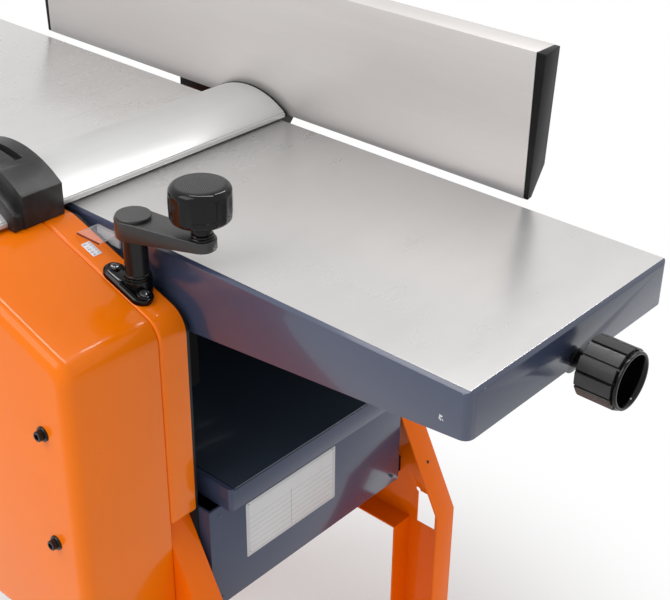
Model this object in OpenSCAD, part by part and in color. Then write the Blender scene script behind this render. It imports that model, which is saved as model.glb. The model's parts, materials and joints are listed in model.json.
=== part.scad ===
// Combination planer thicknesser on a sheet steel stand.
// The origin is on the floor, midway between the four floor bolts, under the cutterblock.
// +X points to the free end of the infeed table, +Y to the fence, +Z up. Sizes are in millimetres.

/* [Tables] */
// Height of the table surfaces above the floor
table_z = 870; // [840:1:900]
// Width of both tables, front to back
table_w = 280; // [274:1:300]
// Distance from the cutterblock's axis to the free end of a table
table_reach = 505; // [480:1:560]
// Thickness of the ground table plate
table_t = 8; // [6:0.5:12]
// Depth of the apron at the free end of a table
apron_end_h = 43; // [40:1:50]
// Depth of the apron where it starts near the cutterblock
apron_root_h = 80; // [74:1:82]
// Thickness of the apron walls
apron_t = 6; // [4:0.5:8]
// Radius of the outer corners of a table
table_corner_r = 8; // [4:0.5:14]
// Bevel along the upper edge of a table
table_bevel = 3; // [1:0.5:5]
// Angle of the ways that the infeed table slides down
way_angle = 11.3; // [8:0.1:14]

/* [Cutterblock] */
// Radius of the cutterblock body
block_r = 30; // [27:0.5:31]
// How far the knives stand out of the cutterblock
knife_out = 1; // [0.5:0.1:1.5]
// Length of the cutterblock body
block_len = 258; // [240:1:262]
// Radius of the cutterblock journals
journal_r = 10; // [8:0.5:12]
// Radius of a feed roller
roller_r = 16; // [14:0.5:17]
// Distance from the cutterblock's axis to a feed roller's axis
roller_x = 58; // [56:0.5:62]

/* [Body] */
// Running gap between the tables and the side plates
side_gap = 2; // [1.5:0.5:4]
// Thickness of the side plates
plate_t = 6; // [4:0.5:8]
// Depth of the pressed side housings
housing_d = 30; // [28:1:36]
// Half the length of the side housings
housing_half = 213; // [205:1:220]
// Half the length of the level top of the side housings
shoulder_half = 68; // [66:1:74]
// Slope of the side housings' shoulders
shoulder_angle = 18.7; // [15:0.1:22]
// Sheet thickness of the housings and the stand
sheet_t = 2; // [1.5:0.5:3]
// Depth of the drive cover in front of the housing
cover_d = 99; // [90:1:120]
// Radius of the drive cover's rounded edges
cover_edge_r = 13; // [8:0.5:18]
// Half the length of the lower box
box_half = 224; // [216:1:230]
// Height of the lower box
box_h = 121; // [118:1:124]

/* [Thicknessing bed] */
// Half the length of the bed
bed_half = 239; // [230:1:240]
// Width of the bed
bed_w = 256; // [240:1:256]
// Height of the bed's rim
bed_h = 25; // [20:1:25]
// Distance from the tables down to the lowered bed
bed_drop = 236; // [234:1:260]
// Upward travel of the bed
bed_travel = 164; // [120:1:164]
// Radius of the bed's guide column
column_r = 28; // [22:1:32]
// Radius of the lift screw
screw_r = 10; // [8:0.5:12]

/* [Crank] */
// Distance from the crank's axis to the knob's axis
crank_throw = 63.6; // [55:0.1:66]
// Direction in which the crank arm points
crank_dir = 20.2; // [-30:0.1:40]
// Radius of the crank knob
crank_knob_r = 26.7; // [22:0.1:27]
// Radius of the crank shaft below the flange
post_r = 8; // [6:0.5:9]
// Radius of the tube round the crank shaft above the flange
post_tube_r = 10.5; // [9:0.1:11]

/* [Guard] */
// Length of the bridge guard
guard_len = 413.5; // [380:0.5:440]
// Half the width of the bridge guard
guard_half = 53.5; // [48:0.5:55]
// Height of the bridge guard's crown above the tables
guard_crown = 24; // [20:0.5:26]
// Wall thickness of the bridge guard
guard_t = 2.5; // [2:0.1:3]
// Half the width of the guard holder
holder_half = 64; // [62:0.5:68]

/* [Fence] */
// Length of the fence
fence_len = 700; // [600:5:900]
// Height of the fence
fence_h = 140; // [120:1:160]
// Thickness of the fence profile
fence_t = 29; // [27:0.5:36]
// Wall thickness of the fence profile
fence_wall = 3; // [2:0.1:4]
// Forward travel of the fence
fence_travel = 120; // [60:1:130]

/* [Depth knob] */
// Outer radius of the depth knob's grip ribs
knob_r = 27; // [22:0.5:29]
// Length of the depth knob
knob_len = 38; // [30:0.5:44]

/* [Extraction hood] */
// Outer radius of the dust port
port_r = 50; // [40:0.5:60]
// Length of the dust port
port_len = 45; // [30:1:60]

/* [Stand] */
// Half the length of the stand at its top
stand_top_half = 199; // [190:1:205]
// Half the length of the stand at the floor
stand_foot_half = 277; // [260:1:300]
// Width of a stand leg
leg_w = 62; // [54:1:70]
// Radius of the floor bolt holes
floor_bolt_r = 4.5; // [4:0.5:6]
// Height of the rubber feet
foot_h = 8; // [6:1:12]

/* [Hidden] */
$fn = 48;
arc_n = 5;
cut = 1;
run_gap = 0.05;
seat_gap = 0.3;

// Places along Y, measured from the middle of the tables
table_y = table_w/2;
plate_in = table_y + side_gap;
plate_out = plate_in + plate_t;
web_in = plate_out + housing_d - sheet_t;
web_out = plate_out + housing_d;
cover_front = web_out + cover_d;

// Depths below the table surface
knife_r = block_r + knife_out;
block_depth = knife_r;
roller_depth = knife_r*2 + 3 - roller_r;
lip_x = knife_r - 5;
apron_x = 110;
lip_apron_h = 22;
rib_h = 28;
rib_y = 60;
rib_t = 5;
housing_top = 0.5;
bed_gap = 1;
housing_bottom = bed_drop + bed_h + bed_gap;
plate_inset = 4;
rear_plate_inset = 8;
box_top = housing_bottom;
box_bottom = box_top + box_h;
cover_bottom = box_bottom - 8;
cover_wall = 3;
cover_inset = 1.4;
cover_draft = 1.5;
axle_r = 6;
block_t = 13;
bearing_r = 28;
bearing_flange_t = 5;
bearing_hub_r = 22;
bearing_len = 18;
bar_x = 100;
bar_t = 6;
bar_top = 26;
bar_h = 32;
way_x = 120;
way_len = housing_half - rear_plate_inset - way_x;
way_depth = 88;
way_h = 42;
way_w = 13;
way_gap = 0.1;
infeed_travel = 15;

// Depth screw and nut
knob_depth = 34;
rod_r = 6;
nut_len = 30;
nut_w = 22;
knob_back = table_reach + 14;
knob_front = knob_back + knob_len;

// Bed lift
lift_x = 75;
sleeve_t = 8;
bed_floor = 13;
sleeve_top = box_top + 28;
sleeve_len = box_bottom + 15 - sleeve_top;
column_hold = 49;
column_len = bed_travel + sleeve_top + column_hold - bed_drop - bed_floor;
chain_depth = box_bottom + 5;
chain_h = 6;
nut_tail = 6;
screw_spare = 11;
screw_len = bed_travel + chain_depth + chain_h + nut_tail + screw_spare - bed_drop - bed_floor;
nut_sprocket_r = 20.8;
crank_sprocket_r = 13;
chain_t = 3;

// Crank
crank_x = 166.3;
crank_y = -(plate_out + 11);
arm_z = 16.2;
arm_h = 17.6;
arm_end_h = 10;
hub_r = 16.5;
arm_end_r = 12.5;
cap_h = 2;
collar_h = 4.5;
knob_neck_z = arm_z + arm_end_h + collar_h + seat_gap;
knob_low = 43.5;
knob_high = 74.6;
crank_pin_r = 5;
collar_r = 10.7;
neck_r = 9;

// Motor drive
motor_x = -150;
motor_r = 56;
motor_gap = 4;
motor_depth = box_top + motor_gap + motor_r;
motor_y = -60;
motor_len = 190;
motor_bore = 62;
shaft_r = 9;
pulley_y = -(web_out + 40);
pulley_w = 22;
motor_pulley_r = 38;
block_pulley_r = 20;
belt_t = 4;

// Guard
guard_end_y = table_y + 3.5;
guard_low = 2.2;
guard_lip = 4.3;
guard_lip_w = 1.6;
guard_arch = guard_half - guard_lip_w;
guard_sagitta = guard_crown - guard_low - guard_lip - 1;
guard_arc_r = (guard_arch*guard_arch + guard_sagitta*guard_sagitta)/(2*guard_sagitta);
holder_back = plate_out + 6;
holder_front = plate_out + 60;
holder_ledge = plate_out + 49;
ledge_drop = 14;
holder_side_h = 30;
holder_crown = 52;
holder_gap = 0.4;
holder_arc_r = (pow(holder_half, 2) + pow(holder_crown - holder_side_h, 2))
    /(2*(holder_crown - holder_side_h));
holder_pin_r = 3.5;
holder_pin_len = 80;
holder_pin_y = plate_out + 15;
holder_pin_x = holder_half - 4;

// Fence
fence_y = table_y + 8;
fence_low = 2;
fence_foot = 8;
fence_bevel_z = 28;
tilt_y = fence_y + 8;
tilt_z = 10;
tilt_pin_r = 3;
fence_solid_z = 18;
arm_x = 100;
fence_arm_w = 10;
plate_low = 3;
plate_h = 6;
tongue_half = 50;
lock_y = web_out + 82;
lock_r = 4;
slide_end = lock_y + fence_travel + 18;
slide_start = fence_y + 44;
shelf_t = 8;
shelf_end = lock_y + 40;
bracket_t = 10;
bracket_h = 70;
bracket_left = 150;
bracket_right = -4;

// Stand
stand_slope = 0.504;
stand_top = housing_bottom;
bar_bottom = box_bottom + 80;
rail_x = 184;
rail_w = 16;
rail_h = 20;
bolt_x = 185;
bolt_r = 4;
bolt_inset = 28;
bolt_depths = [box_top + bolt_inset, box_bottom - bolt_inset];
foot_x = stand_foot_half - leg_w/2;
foot_y = (plate_out + web_out)/2;

// Extraction hood
hood_x = bed_half + 7;
hood_half_w = 122;
hood_high = 34;
hood_low = box_top + 2;
hood_depth = 52;
hood_wall = 3;
port_depth = 150;
hinge_x = box_half + 16;
hinge_drop = 30;
hinge_depth = box_top + hinge_drop;
hinge_pin_r = 4;
lug_y = 100;

// Switch
switch_depth = box_bottom + 1;
switch_half = 58;
switch_h = 72;
switch_d = 46;
button_travel = 3;

// Helpers

function zd(depth) = table_z - depth;
function unit(v) = v/norm(v);

function corner(before, at, after, r) =
    let (a = unit(before - at))
    let (b = unit(after - at))
    let (half = acos(a*b)/2)
    let (mid = at + unit(a + b)*r/sin(half))
    let (start = at + a*r/tan(half))
    let (end = at + b*r/tan(half))
    let (a0 = atan2(start[1] - mid[1], start[0] - mid[0]))
    let (turn = atan2(end[1] - mid[1], end[0] - mid[0]) - a0)
    let (sweep = turn > 180 ? turn - 360 : turn < -180 ? turn + 360 : turn)
    [for (i = [0:arc_n]) mid + r*[cos(a0 + sweep*i/arc_n), sin(a0 + sweep*i/arc_n)]];

function xy(p) = [p[0], p[1]];

// Outline through points [x, y, radius], with each corner rounded to its radius
function rounded(pts) =
    let (n = len(pts))
    [for (i = [0:n - 1])
        each pts[i][2] > 0
            ? corner(xy(pts[(i + n - 1)%n]), xy(pts[i]), xy(pts[(i + 1)%n]), pts[i][2])
            : [xy(pts[i])]];

function mirrored(half_pts) =
    [each half_pts, each [for (i = [len(half_pts) - 1:-1:0]) [-half_pts[i][0], each
        [for (k = [1:len(half_pts[i]) - 1]) half_pts[i][k]]]]];

module span(x0, x1, y0, y1, z0, z1) {
    translate([x0, y0, z0]) cube([x1 - x0, y1 - y0, z1 - z0]);
}

module rod_x(x0, x1, y, z, r) {
    translate([x0, y, z]) rotate([0, 90, 0]) cylinder(h = x1 - x0, r = r);
}

module rod_y(x, y0, y1, z, r) {
    translate([x, y0, z]) rotate([-90, 0, 0]) cylinder(h = y1 - y0, r = r);
}

module rod_z(x, y, z0, z1, r) {
    translate([x, y, z0]) cylinder(h = z1 - z0, r = r);
}

// Extrudes an outline drawn in X and Z along Y
module along_y(y0, y1) {
    translate([0, y1, 0]) rotate([90, 0, 0]) linear_extrude(y1 - y0) children();
}

// Extrudes an outline drawn in Y and Z along X
module along_x(x0, x1) {
    translate([x0, 0, 0]) rotate([90, 0, 90]) linear_extrude(x1 - x0) children();
}

module front_and_rear() {
    children();
    mirror([0, 1, 0]) children();
}

module left_and_right() {
    children();
    mirror([1, 0, 0]) children();
}

// Outline round two circles and the straight runs between them
module loop_outline(c1, r1, c2, r2) {
    dir = c2 - c1;
    a = atan2(dir[1], dir[0]);
    b = acos((r1 - r2)/norm(dir));
    translate(c1) circle(r1);
    translate(c2) circle(r2);
    polygon([
        c1 + r1*[cos(a + b), sin(a + b)], c2 + r2*[cos(a + b), sin(a + b)],
        c2 + r2*[cos(a - b), sin(a - b)], c1 + r1*[cos(a - b), sin(a - b)]]);
}

// Loop of belt or chain with the given thickness round two wheels
module loop_ring(c1, r1, c2, r2, t) {
    difference() {
        loop_outline(c1, r1 + t, c2, r2 + t);
        loop_outline(c1, r1, c2, r2);
    }
}

// Closed skin over rings of points, all with the same count
module loft(rings) {
    n = len(rings[0]);
    m = len(rings);
    polyhedron(
        points = [for (r = rings) each r],
        faces = [
            [for (i = [n - 1:-1:0]) i],
            [for (i = [0:n - 1]) (m - 1)*n + i],
            for (k = [0:m - 2], i = [0:n - 1])
                [k*n + i, k*n + (i + 1)%n, (k + 1)*n + (i + 1)%n, (k + 1)*n + i]]);
}

// Profile shared by the side plates, the side housings and the drive cover

function shoulder_points(inset, bottom, r_scale, narrower = 0) =
    let (slope = tan(shoulder_angle))
    let (drop = inset/cos(shoulder_angle))
    let (top_x = shoulder_half + (inset - drop)/slope)
    let (side_x = housing_half - narrower - inset)
    let (side_d = housing_top + (side_x - shoulder_half)*slope + drop)
    mirrored([
        [-side_x, zd(bottom - inset), 6*r_scale],
        [-side_x, zd(side_d), 25*r_scale],
        [-top_x, zd(housing_top + inset), 30*r_scale]]);

module shoulder_outline(inset, bottom) {
    polygon(rounded(shoulder_points(inset, bottom, 1)));
}

// Depth of the sloping shoulder's surface at a distance from the cutterblock's axis
function shoulder_depth(x) = housing_top + (abs(x) - shoulder_half)*tan(shoulder_angle);

// Tables

function apron_depth(x) =
    apron_end_h + (apron_root_h - apron_end_h)*(table_reach - x)/(table_reach - apron_x);

module table_plan(inset) {
    polygon(rounded([
        [lip_x, -table_y + inset, 0], [table_reach - inset, -table_y + inset, table_corner_r],
        [table_reach - inset, table_y - inset, table_corner_r], [lip_x, table_y - inset, 0]]));
}

module table_end_view() {
    polygon([
        [-table_y, zd(apron_root_h + cut)], [table_y, zd(apron_root_h + cut)],
        [table_y, zd(table_bevel)], [table_y - table_bevel, zd(0)],
        [-table_y + table_bevel, zd(0)], [-table_y, zd(table_bevel)]]);
}

module table_side_view() {
    polygon([
        [lip_x, zd(0)], [table_reach - table_bevel, zd(0)], [table_reach, zd(table_bevel)],
        [table_reach, zd(apron_end_h)], [apron_x, zd(apron_root_h)], [apron_x, zd(lip_apron_h)],
        [lip_x + 12, zd(lip_apron_h)], [lip_x + 12, zd(table_t + 6)], [lip_x, zd(table_t - 3)]]);
}

module table_casting() {
    inner_y = table_y - apron_t;
    difference() {
        intersection() {
            translate([0, 0, zd(apron_root_h + cut)])
                linear_extrude(apron_root_h + cut) table_plan(0);
            along_x(lip_x, table_reach) table_end_view();
            along_y(-table_y, table_y) table_side_view();
        }
        span(lip_x + 12, table_reach - apron_t, -inner_y, inner_y,
            zd(apron_root_h + cut), zd(table_t));
    }
    for (y = [-rib_y, rib_y])
        span(apron_x + 10, table_reach - apron_t, y - rib_t/2, y + rib_t/2, zd(rib_h), zd(table_t));
}

module infeed_table() {
    color("lightsteelblue")
    difference() {
        union() {
            table_casting();
            rod_x(table_reach - apron_t - 10, table_reach, 0, zd(knob_depth), 14);
        }
        rod_x(table_reach - 30, table_reach + cut, 0, zd(knob_depth), rod_r + 0.1);
    }
}

module outfeed_table() {
    color("lightsteelblue") mirror([1, 0, 0]) table_casting();
}

function way_surface(x) = way_depth + (x - way_x)*tan(way_angle);

// Wedge between a table's apron and the way under it
module runner() {
    along_y(plate_in - way_w, table_y)
        polygon([
            [way_x, zd(apron_depth(way_x))], [way_x + way_len, zd(apron_depth(way_x + way_len))],
            [way_x + way_len, zd(way_surface(way_x + way_len) - way_gap)],
            [way_x, zd(way_surface(way_x) - way_gap)]]);
}

module way() {
    along_y(plate_in - way_w, plate_in)
        polygon([
            [way_x, zd(way_surface(way_x))], [way_x + way_len, zd(way_surface(way_x + way_len))],
            [way_x + way_len, zd(way_depth + way_h)], [way_x, zd(way_depth + way_h)]]);
}

module table_runners() {
    color("slategray") front_and_rear() runner();
}

module table_brackets() {
    color("slategray") {
        front_and_rear() left_and_right() way();
        front_and_rear() mirror([1, 0, 0]) translate([0, 0, -way_gap]) runner_seated();
    }
}

// The outfeed table's wedge, which rests on its way and is bolted to it
module runner_seated() {
    along_y(plate_in - way_w, table_y)
        polygon([
            [way_x, zd(apron_depth(way_x) - way_gap)],
            [way_x + way_len, zd(apron_depth(way_x + way_len) - way_gap)],
            [way_x + way_len, zd(way_surface(way_x + way_len) - way_gap)],
            [way_x, zd(way_surface(way_x) - way_gap)]]);
}

module depth_pointer() {
    tab = 1.5;
    x0 = 92;
    w = 30;
    reach_y = table_y + 24;
    top = 6;
    color("white") {
        span(x0, x0 + w, -table_y - tab, -table_y, zd(20), zd(top));
        span(x0, x0 + w, -reach_y, -table_y, zd(top + tab), zd(top));
    }
}

// Grip with broad ribs, a plain front ring and a deep hollow
module depth_knob() {
    rib_count = 12;
    rib_half = 5.9;
    ring_r = knob_r - 1.8;
    body_r = knob_r - 3;
    hollow_r = ring_r - 4.5;
    hollow_d = 22;
    ring_w = 3.4;
    neck_len = 8;
    color("dimgray")
    difference() {
        union() {
            rod_x(knob_back, knob_front, 0, zd(knob_depth), body_r);
            rod_x(knob_front - ring_w, knob_front, 0, zd(knob_depth), ring_r);
            rod_x(knob_back - neck_len, knob_back + cut, 0, zd(knob_depth), rod_r + 2);
            for (i = [0:rib_count - 1])
                translate([knob_back + 2, 0, zd(knob_depth)])
                    rotate([360*i/rib_count, 0, 0])
                        span(0, knob_len - ring_w - 3, -rib_half, rib_half, 0, knob_r - 0.6);
        }
        rod_x(knob_front - hollow_d, knob_front + cut, 0, zd(knob_depth), hollow_r);
        rod_x(knob_back - neck_len - cut, knob_front, 0, zd(knob_depth), rod_r);
    }
}

module depth_screw() {
    color("silver") {
        rod_x(bar_x + bar_t + 1, knob_front - 16, 0, zd(knob_depth), rod_r);
        rod_x(table_reach + 1, table_reach + 3, 0, zd(knob_depth), rod_r + 2);
    }
}

module depth_nut() {
    color("goldenrod")
    difference() {
        span(bar_x + bar_t + seat_gap, bar_x + bar_t + nut_len, -nut_w/2, nut_w/2,
            zd(knob_depth + 12), zd(knob_depth - 12));
        rod_x(bar_x, bar_x + bar_t + nut_len + cut, 0, zd(knob_depth), rod_r + run_gap);
    }
}

// Cutterblock and rollers

slot_w = 9;
slot_depth = 16;
knife_t = 2.5;
knife_angles = [90 - 35, 210 - 35, 330 - 35];

module in_block_slots() {
    for (a = knife_angles)
        translate([0, 0, zd(block_depth)]) rotate([0, -a, 0]) children();
}

module cutterblock() {
    color("silver")
    difference() {
        union() {
            rod_y(0, -block_len/2, block_len/2, zd(block_depth), block_r);
            rod_y(0, -web_out - 62, plate_out + bearing_len - 2, zd(block_depth), journal_r);
        }
        in_block_slots()
            span(block_r - slot_depth, block_r + cut, -block_len/2 - cut, block_len/2 + cut,
                0, slot_w);
    }
}

module cutter_knives() {
    color("gainsboro")
    in_block_slots()
        span(block_r - slot_depth + 1, knife_r - 0.1, -block_len/2 + 1, block_len/2 - 1,
            0, knife_t);
}

module gib_bars() {
    color("gray")
    in_block_slots()
        span(block_r - slot_depth, block_r - 2, -block_len/2 + 1, block_len/2 - 1,
            knife_t, slot_w);
}

module cutter_bearings() {
    color("darkslategray")
    front_and_rear()
        difference() {
            union() {
                rod_y(0, plate_out, plate_out + bearing_len, zd(block_depth), bearing_hub_r);
                rod_y(0, plate_out, plate_out + bearing_flange_t, zd(block_depth), bearing_r);
            }
            rod_y(0, plate_out - cut, plate_out + bearing_len + cut, zd(block_depth),
                journal_r + run_gap);
        }
}

// Grooved wheel on a shaft along Y
module pulley(x, depth, r, bore_r) {
    difference() {
        union() {
            rod_y(x, pulley_y, pulley_y + pulley_w, zd(depth), r);
            for (y = [pulley_y - 3, pulley_y + pulley_w])
                rod_y(x, y, y + 3, zd(depth), r + 3);
        }
        rod_y(x, pulley_y - 3 - cut, pulley_y + pulley_w + 3 + cut, zd(depth), bore_r);
    }
}

module block_pulley() {
    color("dimgray") pulley(0, block_depth, block_pulley_r, journal_r);
}

module motor_rotor() {
    color("dimgray") {
        pulley(motor_x, motor_depth, motor_pulley_r, shaft_r - 1);
        rod_y(motor_x, pulley_y - 6, motor_y + motor_bore - 2, zd(motor_depth), shaft_r);
    }
}

module drive_belt() {
    color("black")
    along_y(pulley_y + 3, pulley_y + pulley_w - 3)
        loop_ring([0, zd(block_depth)], block_pulley_r + seat_gap,
            [motor_x, zd(motor_depth)], motor_pulley_r + seat_gap, belt_t - 2);
}

module bearing_blocks() {
    half = axle_r + 8;
    color("slategray")
    front_and_rear() left_and_right()
        difference() {
            span(roller_x - half, roller_x + half, plate_in - block_t, plate_in,
                zd(roller_depth + half + 1), zd(roller_depth - half - 1));
            rod_y(roller_x, plate_in - block_t - cut, plate_in + cut, zd(roller_depth),
                axle_r + run_gap);
        }
}

roller_end = 126;
sprocket_y = web_in - 8;
sprocket_w = 5;
feed_sprocket_r = 14;

module roller_axle(x) {
    rod_y(x, -plate_in + 1, sprocket_y + sprocket_w + 1, zd(roller_depth), axle_r);
    rod_y(x, sprocket_y, sprocket_y + sprocket_w, zd(roller_depth), feed_sprocket_r);
}

module infeed_roller() {
    flute_count = 24;
    color("gray") {
        roller_axle(-roller_x);
        difference() {
            rod_y(-roller_x, -roller_end, roller_end, zd(roller_depth), roller_r);
            for (i = [0:flute_count - 1])
                translate([-roller_x, 0, zd(roller_depth)])
                    rotate([0, 360*i/flute_count, 0])
                        span(roller_r - 1.2, roller_r + cut, -roller_end - cut, roller_end + cut,
                            -0.8, 0.8);
        }
    }
}

module outfeed_roller() {
    color("dimgray") {
        roller_axle(roller_x);
        rod_y(roller_x, -roller_end, roller_end, zd(roller_depth), roller_r);
    }
}

module feed_chain() {
    along_y(sprocket_y, sprocket_y + sprocket_w)
        loop_ring([-roller_x, zd(roller_depth)], feed_sprocket_r + seat_gap,
            [roller_x, zd(roller_depth)], feed_sprocket_r + seat_gap, chain_t);
}

finger_x = 87;
finger_depth = 42;
finger_shaft_r = 5;
finger_pitch = 10;
finger_count = 24;

module head_bars() {
    color("slategray") {
        left_and_right()
            span(bar_x, bar_x + bar_t, -plate_in, plate_in, zd(bar_top + bar_h), zd(bar_top));
        rod_y(-finger_x, -plate_in, plate_in, zd(finger_depth), finger_shaft_r);
    }
}

module kickback_fingers() {
    thick = 6;
    color("silver")
    for (i = [0:finger_count - 1]) {
        y = (i - (finger_count - 1)/2)*finger_pitch;
        along_y(y - thick/2, y + thick/2)
            difference() {
                union() {
                    translate([-finger_x, zd(finger_depth)]) circle(8.5);
                    polygon([
                        [-finger_x - 8, zd(finger_depth)], [-finger_x + 8, zd(finger_depth)],
                        [-finger_x + 9, zd(finger_depth + 24)],
                        [-finger_x + 3, zd(finger_depth + 21)]]);
                }
                translate([-finger_x, zd(finger_depth)]) circle(finger_shaft_r + run_gap);
            }
    }
}

// Body

module side_plate(side) {
    inset = side > 0 ? rear_plate_inset : plate_inset;
    along_y(side > 0 ? plate_in : -plate_out, side > 0 ? plate_out : -plate_in)
        difference() {
            shoulder_outline(inset, box_bottom + inset);
            translate([0, zd(block_depth)]) circle(journal_r + 4);
            for (x = [-roller_x, roller_x])
                translate([x, zd(roller_depth)]) circle(axle_r + 2);
            if (side < 0)
                translate([motor_x, zd(motor_depth)]) circle(shaft_r + 12);
        }
}

module side_plate_front() {
    color("darkslategray") side_plate(-1);
}

module side_plate_rear() {
    color("darkslategray") side_plate(1);
}

// Pressed pan with a web on its outer side, open towards the side plate
module housing_pan() {
    difference() {
        along_y(plate_out, web_out) shoulder_outline(0, housing_bottom);
        along_y(plate_out - cut, web_in) shoulder_outline(sheet_t, housing_bottom);
    }
}

cover_screw_x = 174;
cover_screw_depths = [123, housing_bottom - 22];
cover_screw_r = 3;
cover_post_r = 6;

module side_housing_front() {
    post_end = cover_front - cover_wall - seat_gap;
    color("darkorange")
    difference() {
        union() {
            mirror([0, 1, 0]) housing_pan();
            left_and_right()
                for (depth = cover_screw_depths)
                    rod_y(cover_screw_x, -post_end, -web_in, zd(depth), cover_post_r);
        }
        rod_z(crank_x, crank_y, zd(100), zd(0), post_r + 1.5);
        rod_z(crank_x, crank_y, zd(housing_bottom + 9), zd(housing_bottom - 9), post_r + run_gap);
        at_flange_screws() translate([0, 0, -5 - cut]) cylinder(h = 5 + 2*cut, r = 2 + run_gap);
        rod_y(0, -web_out - cut, -web_in + cut, zd(block_depth), journal_r + 4);
        left_and_right() {
            rod_z(holder_pin_x, -holder_pin_y, zd(20), zd(-cut), holder_pin_r + run_gap);
            for (depth = cover_screw_depths)
                rod_y(cover_screw_x, -post_end - cut, -post_end + 25, zd(depth), cover_screw_r);
        }
    }
}

rear_top = 29;
bearing_clear = 2;

// The rear housing keeps below the sight line under the fence
module rear_outline() {
    slope_x = shoulder_half + (rear_top - housing_top)/tan(shoulder_angle);
    polygon(rounded(mirrored([
        [-housing_half, zd(housing_bottom), 6], [-housing_half, zd(shoulder_depth(housing_half)), 25],
        [-slope_x, zd(rear_top), 20]])));
}

// The bearing stands up through a slot in the top of the rear housing
module side_housing_rear() {
    color("darkorange")
    difference() {
        along_y(plate_out, web_out) rear_outline();
        along_y(plate_out - cut, web_in) offset(delta = -sheet_t) rear_outline();
        rod_y(0, plate_out - cut, plate_out + bearing_len + bearing_clear, zd(block_depth),
            bearing_r + bearing_clear);
    }
}

// One ring of the drive cover, at a place along Y and drawn in by an inset
function cover_ring(y, inset) =
    [for (p = rounded(shoulder_points(inset, cover_bottom, 1 - inset/25, cover_inset)))
        [p[0], -y, p[1]]];

function cover_rings(start, extra) =
    let (flat_y = cover_front - extra - cover_edge_r)
    [cover_ring(start, extra),
        for (i = [0:arc_n])
            cover_ring(flat_y + cover_edge_r*sin(90*i/arc_n),
                cover_draft + extra + cover_edge_r*(1 - cos(90*i/arc_n)))];

module side_cover() {
    color("orange")
    difference() {
        loft(cover_rings(web_out + seat_gap, 0));
        loft(cover_rings(web_out - cut, cover_wall));
        left_and_right()
            for (depth = cover_screw_depths)
                rod_y(cover_screw_x, -cover_front - cut, -cover_front + 2*cover_wall, zd(depth),
                    cover_screw_r + 0.3);
    }
}

module cover_screws() {
    head_r = 7;
    head_t = 2;
    head_h = 7;
    socket_d = 4;
    color("black")
    left_and_right()
        for (depth = cover_screw_depths)
            difference() {
                union() {
                    rod_y(cover_screw_x, -cover_front - head_t, -cover_front, zd(depth), head_r);
                    rod_y(cover_screw_x, -cover_front - head_h, -cover_front, zd(depth),
                        head_r - 2.2);
                    rod_y(cover_screw_x, -cover_front - cut, -cover_front + 20, zd(depth),
                        cover_screw_r - run_gap);
                }
                translate([cover_screw_x, -cover_front - head_h - cut, zd(depth)])
                    rotate([-90, 0, 0]) cylinder(h = socket_d + cut, r = 2.9, $fn = 6);
            }
}

module base_box() {
    wall = 3;
    inner = plate_in - wall;
    color("steelblue")
    difference() {
        span(-box_half, box_half, -plate_in, plate_in, zd(box_bottom), zd(box_top));
        span(-box_half + wall, box_half - wall, -inner, inner, zd(box_bottom - wall),
            zd(box_top - cut));
        rod_z(0, 0, zd(box_bottom + cut), zd(box_bottom - wall - cut), column_r + sleeve_t);
        rod_z(lift_x, 0, zd(box_bottom + cut), zd(box_bottom - wall - cut), 16 + run_gap);
        rod_y(motor_x, -plate_in - cut, -inner + cut, zd(motor_depth), shaft_r + 3);
    }
}

scale_x = 111.5;
scale_y = -(plate_out + 16);
rating_y = [-95, 34];
rating_depths = [box_top + 17, box_bottom - 38];

// Rating plate on the lower box and depth scale on the sloping shoulder
module label_plates() {
    thick = 0.4;
    color("white") {
        span(box_half, box_half + thick, rating_y[0], rating_y[1], zd(rating_depths[1]),
            zd(rating_depths[0]));
        translate([scale_x, scale_y, zd(shoulder_depth(scale_x))])
            rotate([0, shoulder_angle, 0]) span(-9, 9, -4.8, 4.8, 0, thick);
    }
}

// Thicknessing bed

bed_groove = 1.5;
bed_rim = 4.5;
bed_sheet = 2;

module bed_plan(inset, r) {
    bed_plan_xy(inset, inset, r);
}

module bed_plan_xy(inset_x, inset_y, r) {
    x = bed_half - inset_x;
    y = bed_w/2 - inset_y;
    polygon(rounded([[-x, -y, r], [x, -y, r], [x, y, r], [-x, y, r]]));
}

module bed_frame() {
    rim_r = 5;
    floor_t = 4;
    color("steelblue")
    difference() {
        bed_shell(rim_r, floor_t);
        left_and_right()
            span(bed_half - bed_rim - 2, bed_half + cut, -bed_w/2 + bed_rim, bed_w/2 - bed_rim,
                zd(bed_drop + bed_sheet), zd(bed_drop - cut));
    }
}

module bed_shell(rim_r, floor_t) {
    difference() {
        translate([0, 0, zd(bed_drop + bed_h)]) linear_extrude(bed_h) bed_plan(0, rim_r);
        translate([0, 0, zd(bed_drop + bed_floor - floor_t)])
            linear_extrude(bed_floor) bed_plan(bed_rim, rim_r - bed_rim + 1);
        translate([0, 0, zd(bed_drop + bed_h + cut)])
            linear_extrude(bed_h - bed_floor + cut) bed_plan(bed_rim, rim_r - bed_rim + 1);
    }
}

module bed_top() {
    inset = bed_rim + bed_groove;
    color("dimgray") {
        translate([0, 0, zd(bed_drop + bed_floor - 4)])
            linear_extrude(bed_floor - 4) bed_plan(inset, 3);
        translate([0, 0, zd(bed_drop + bed_sheet)])
            linear_extrude(bed_sheet) bed_plan_xy(0.6, inset, 1);
    }
}

module bed_column() {
    color("silver")
    difference() {
        rod_z(0, 0, zd(bed_drop + bed_floor + column_len), zd(bed_drop + bed_floor), column_r);
        rod_z(0, 0, zd(bed_drop + bed_floor + column_len + cut), zd(bed_drop + bed_floor + 6),
            column_r - 5);
    }
}

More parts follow.
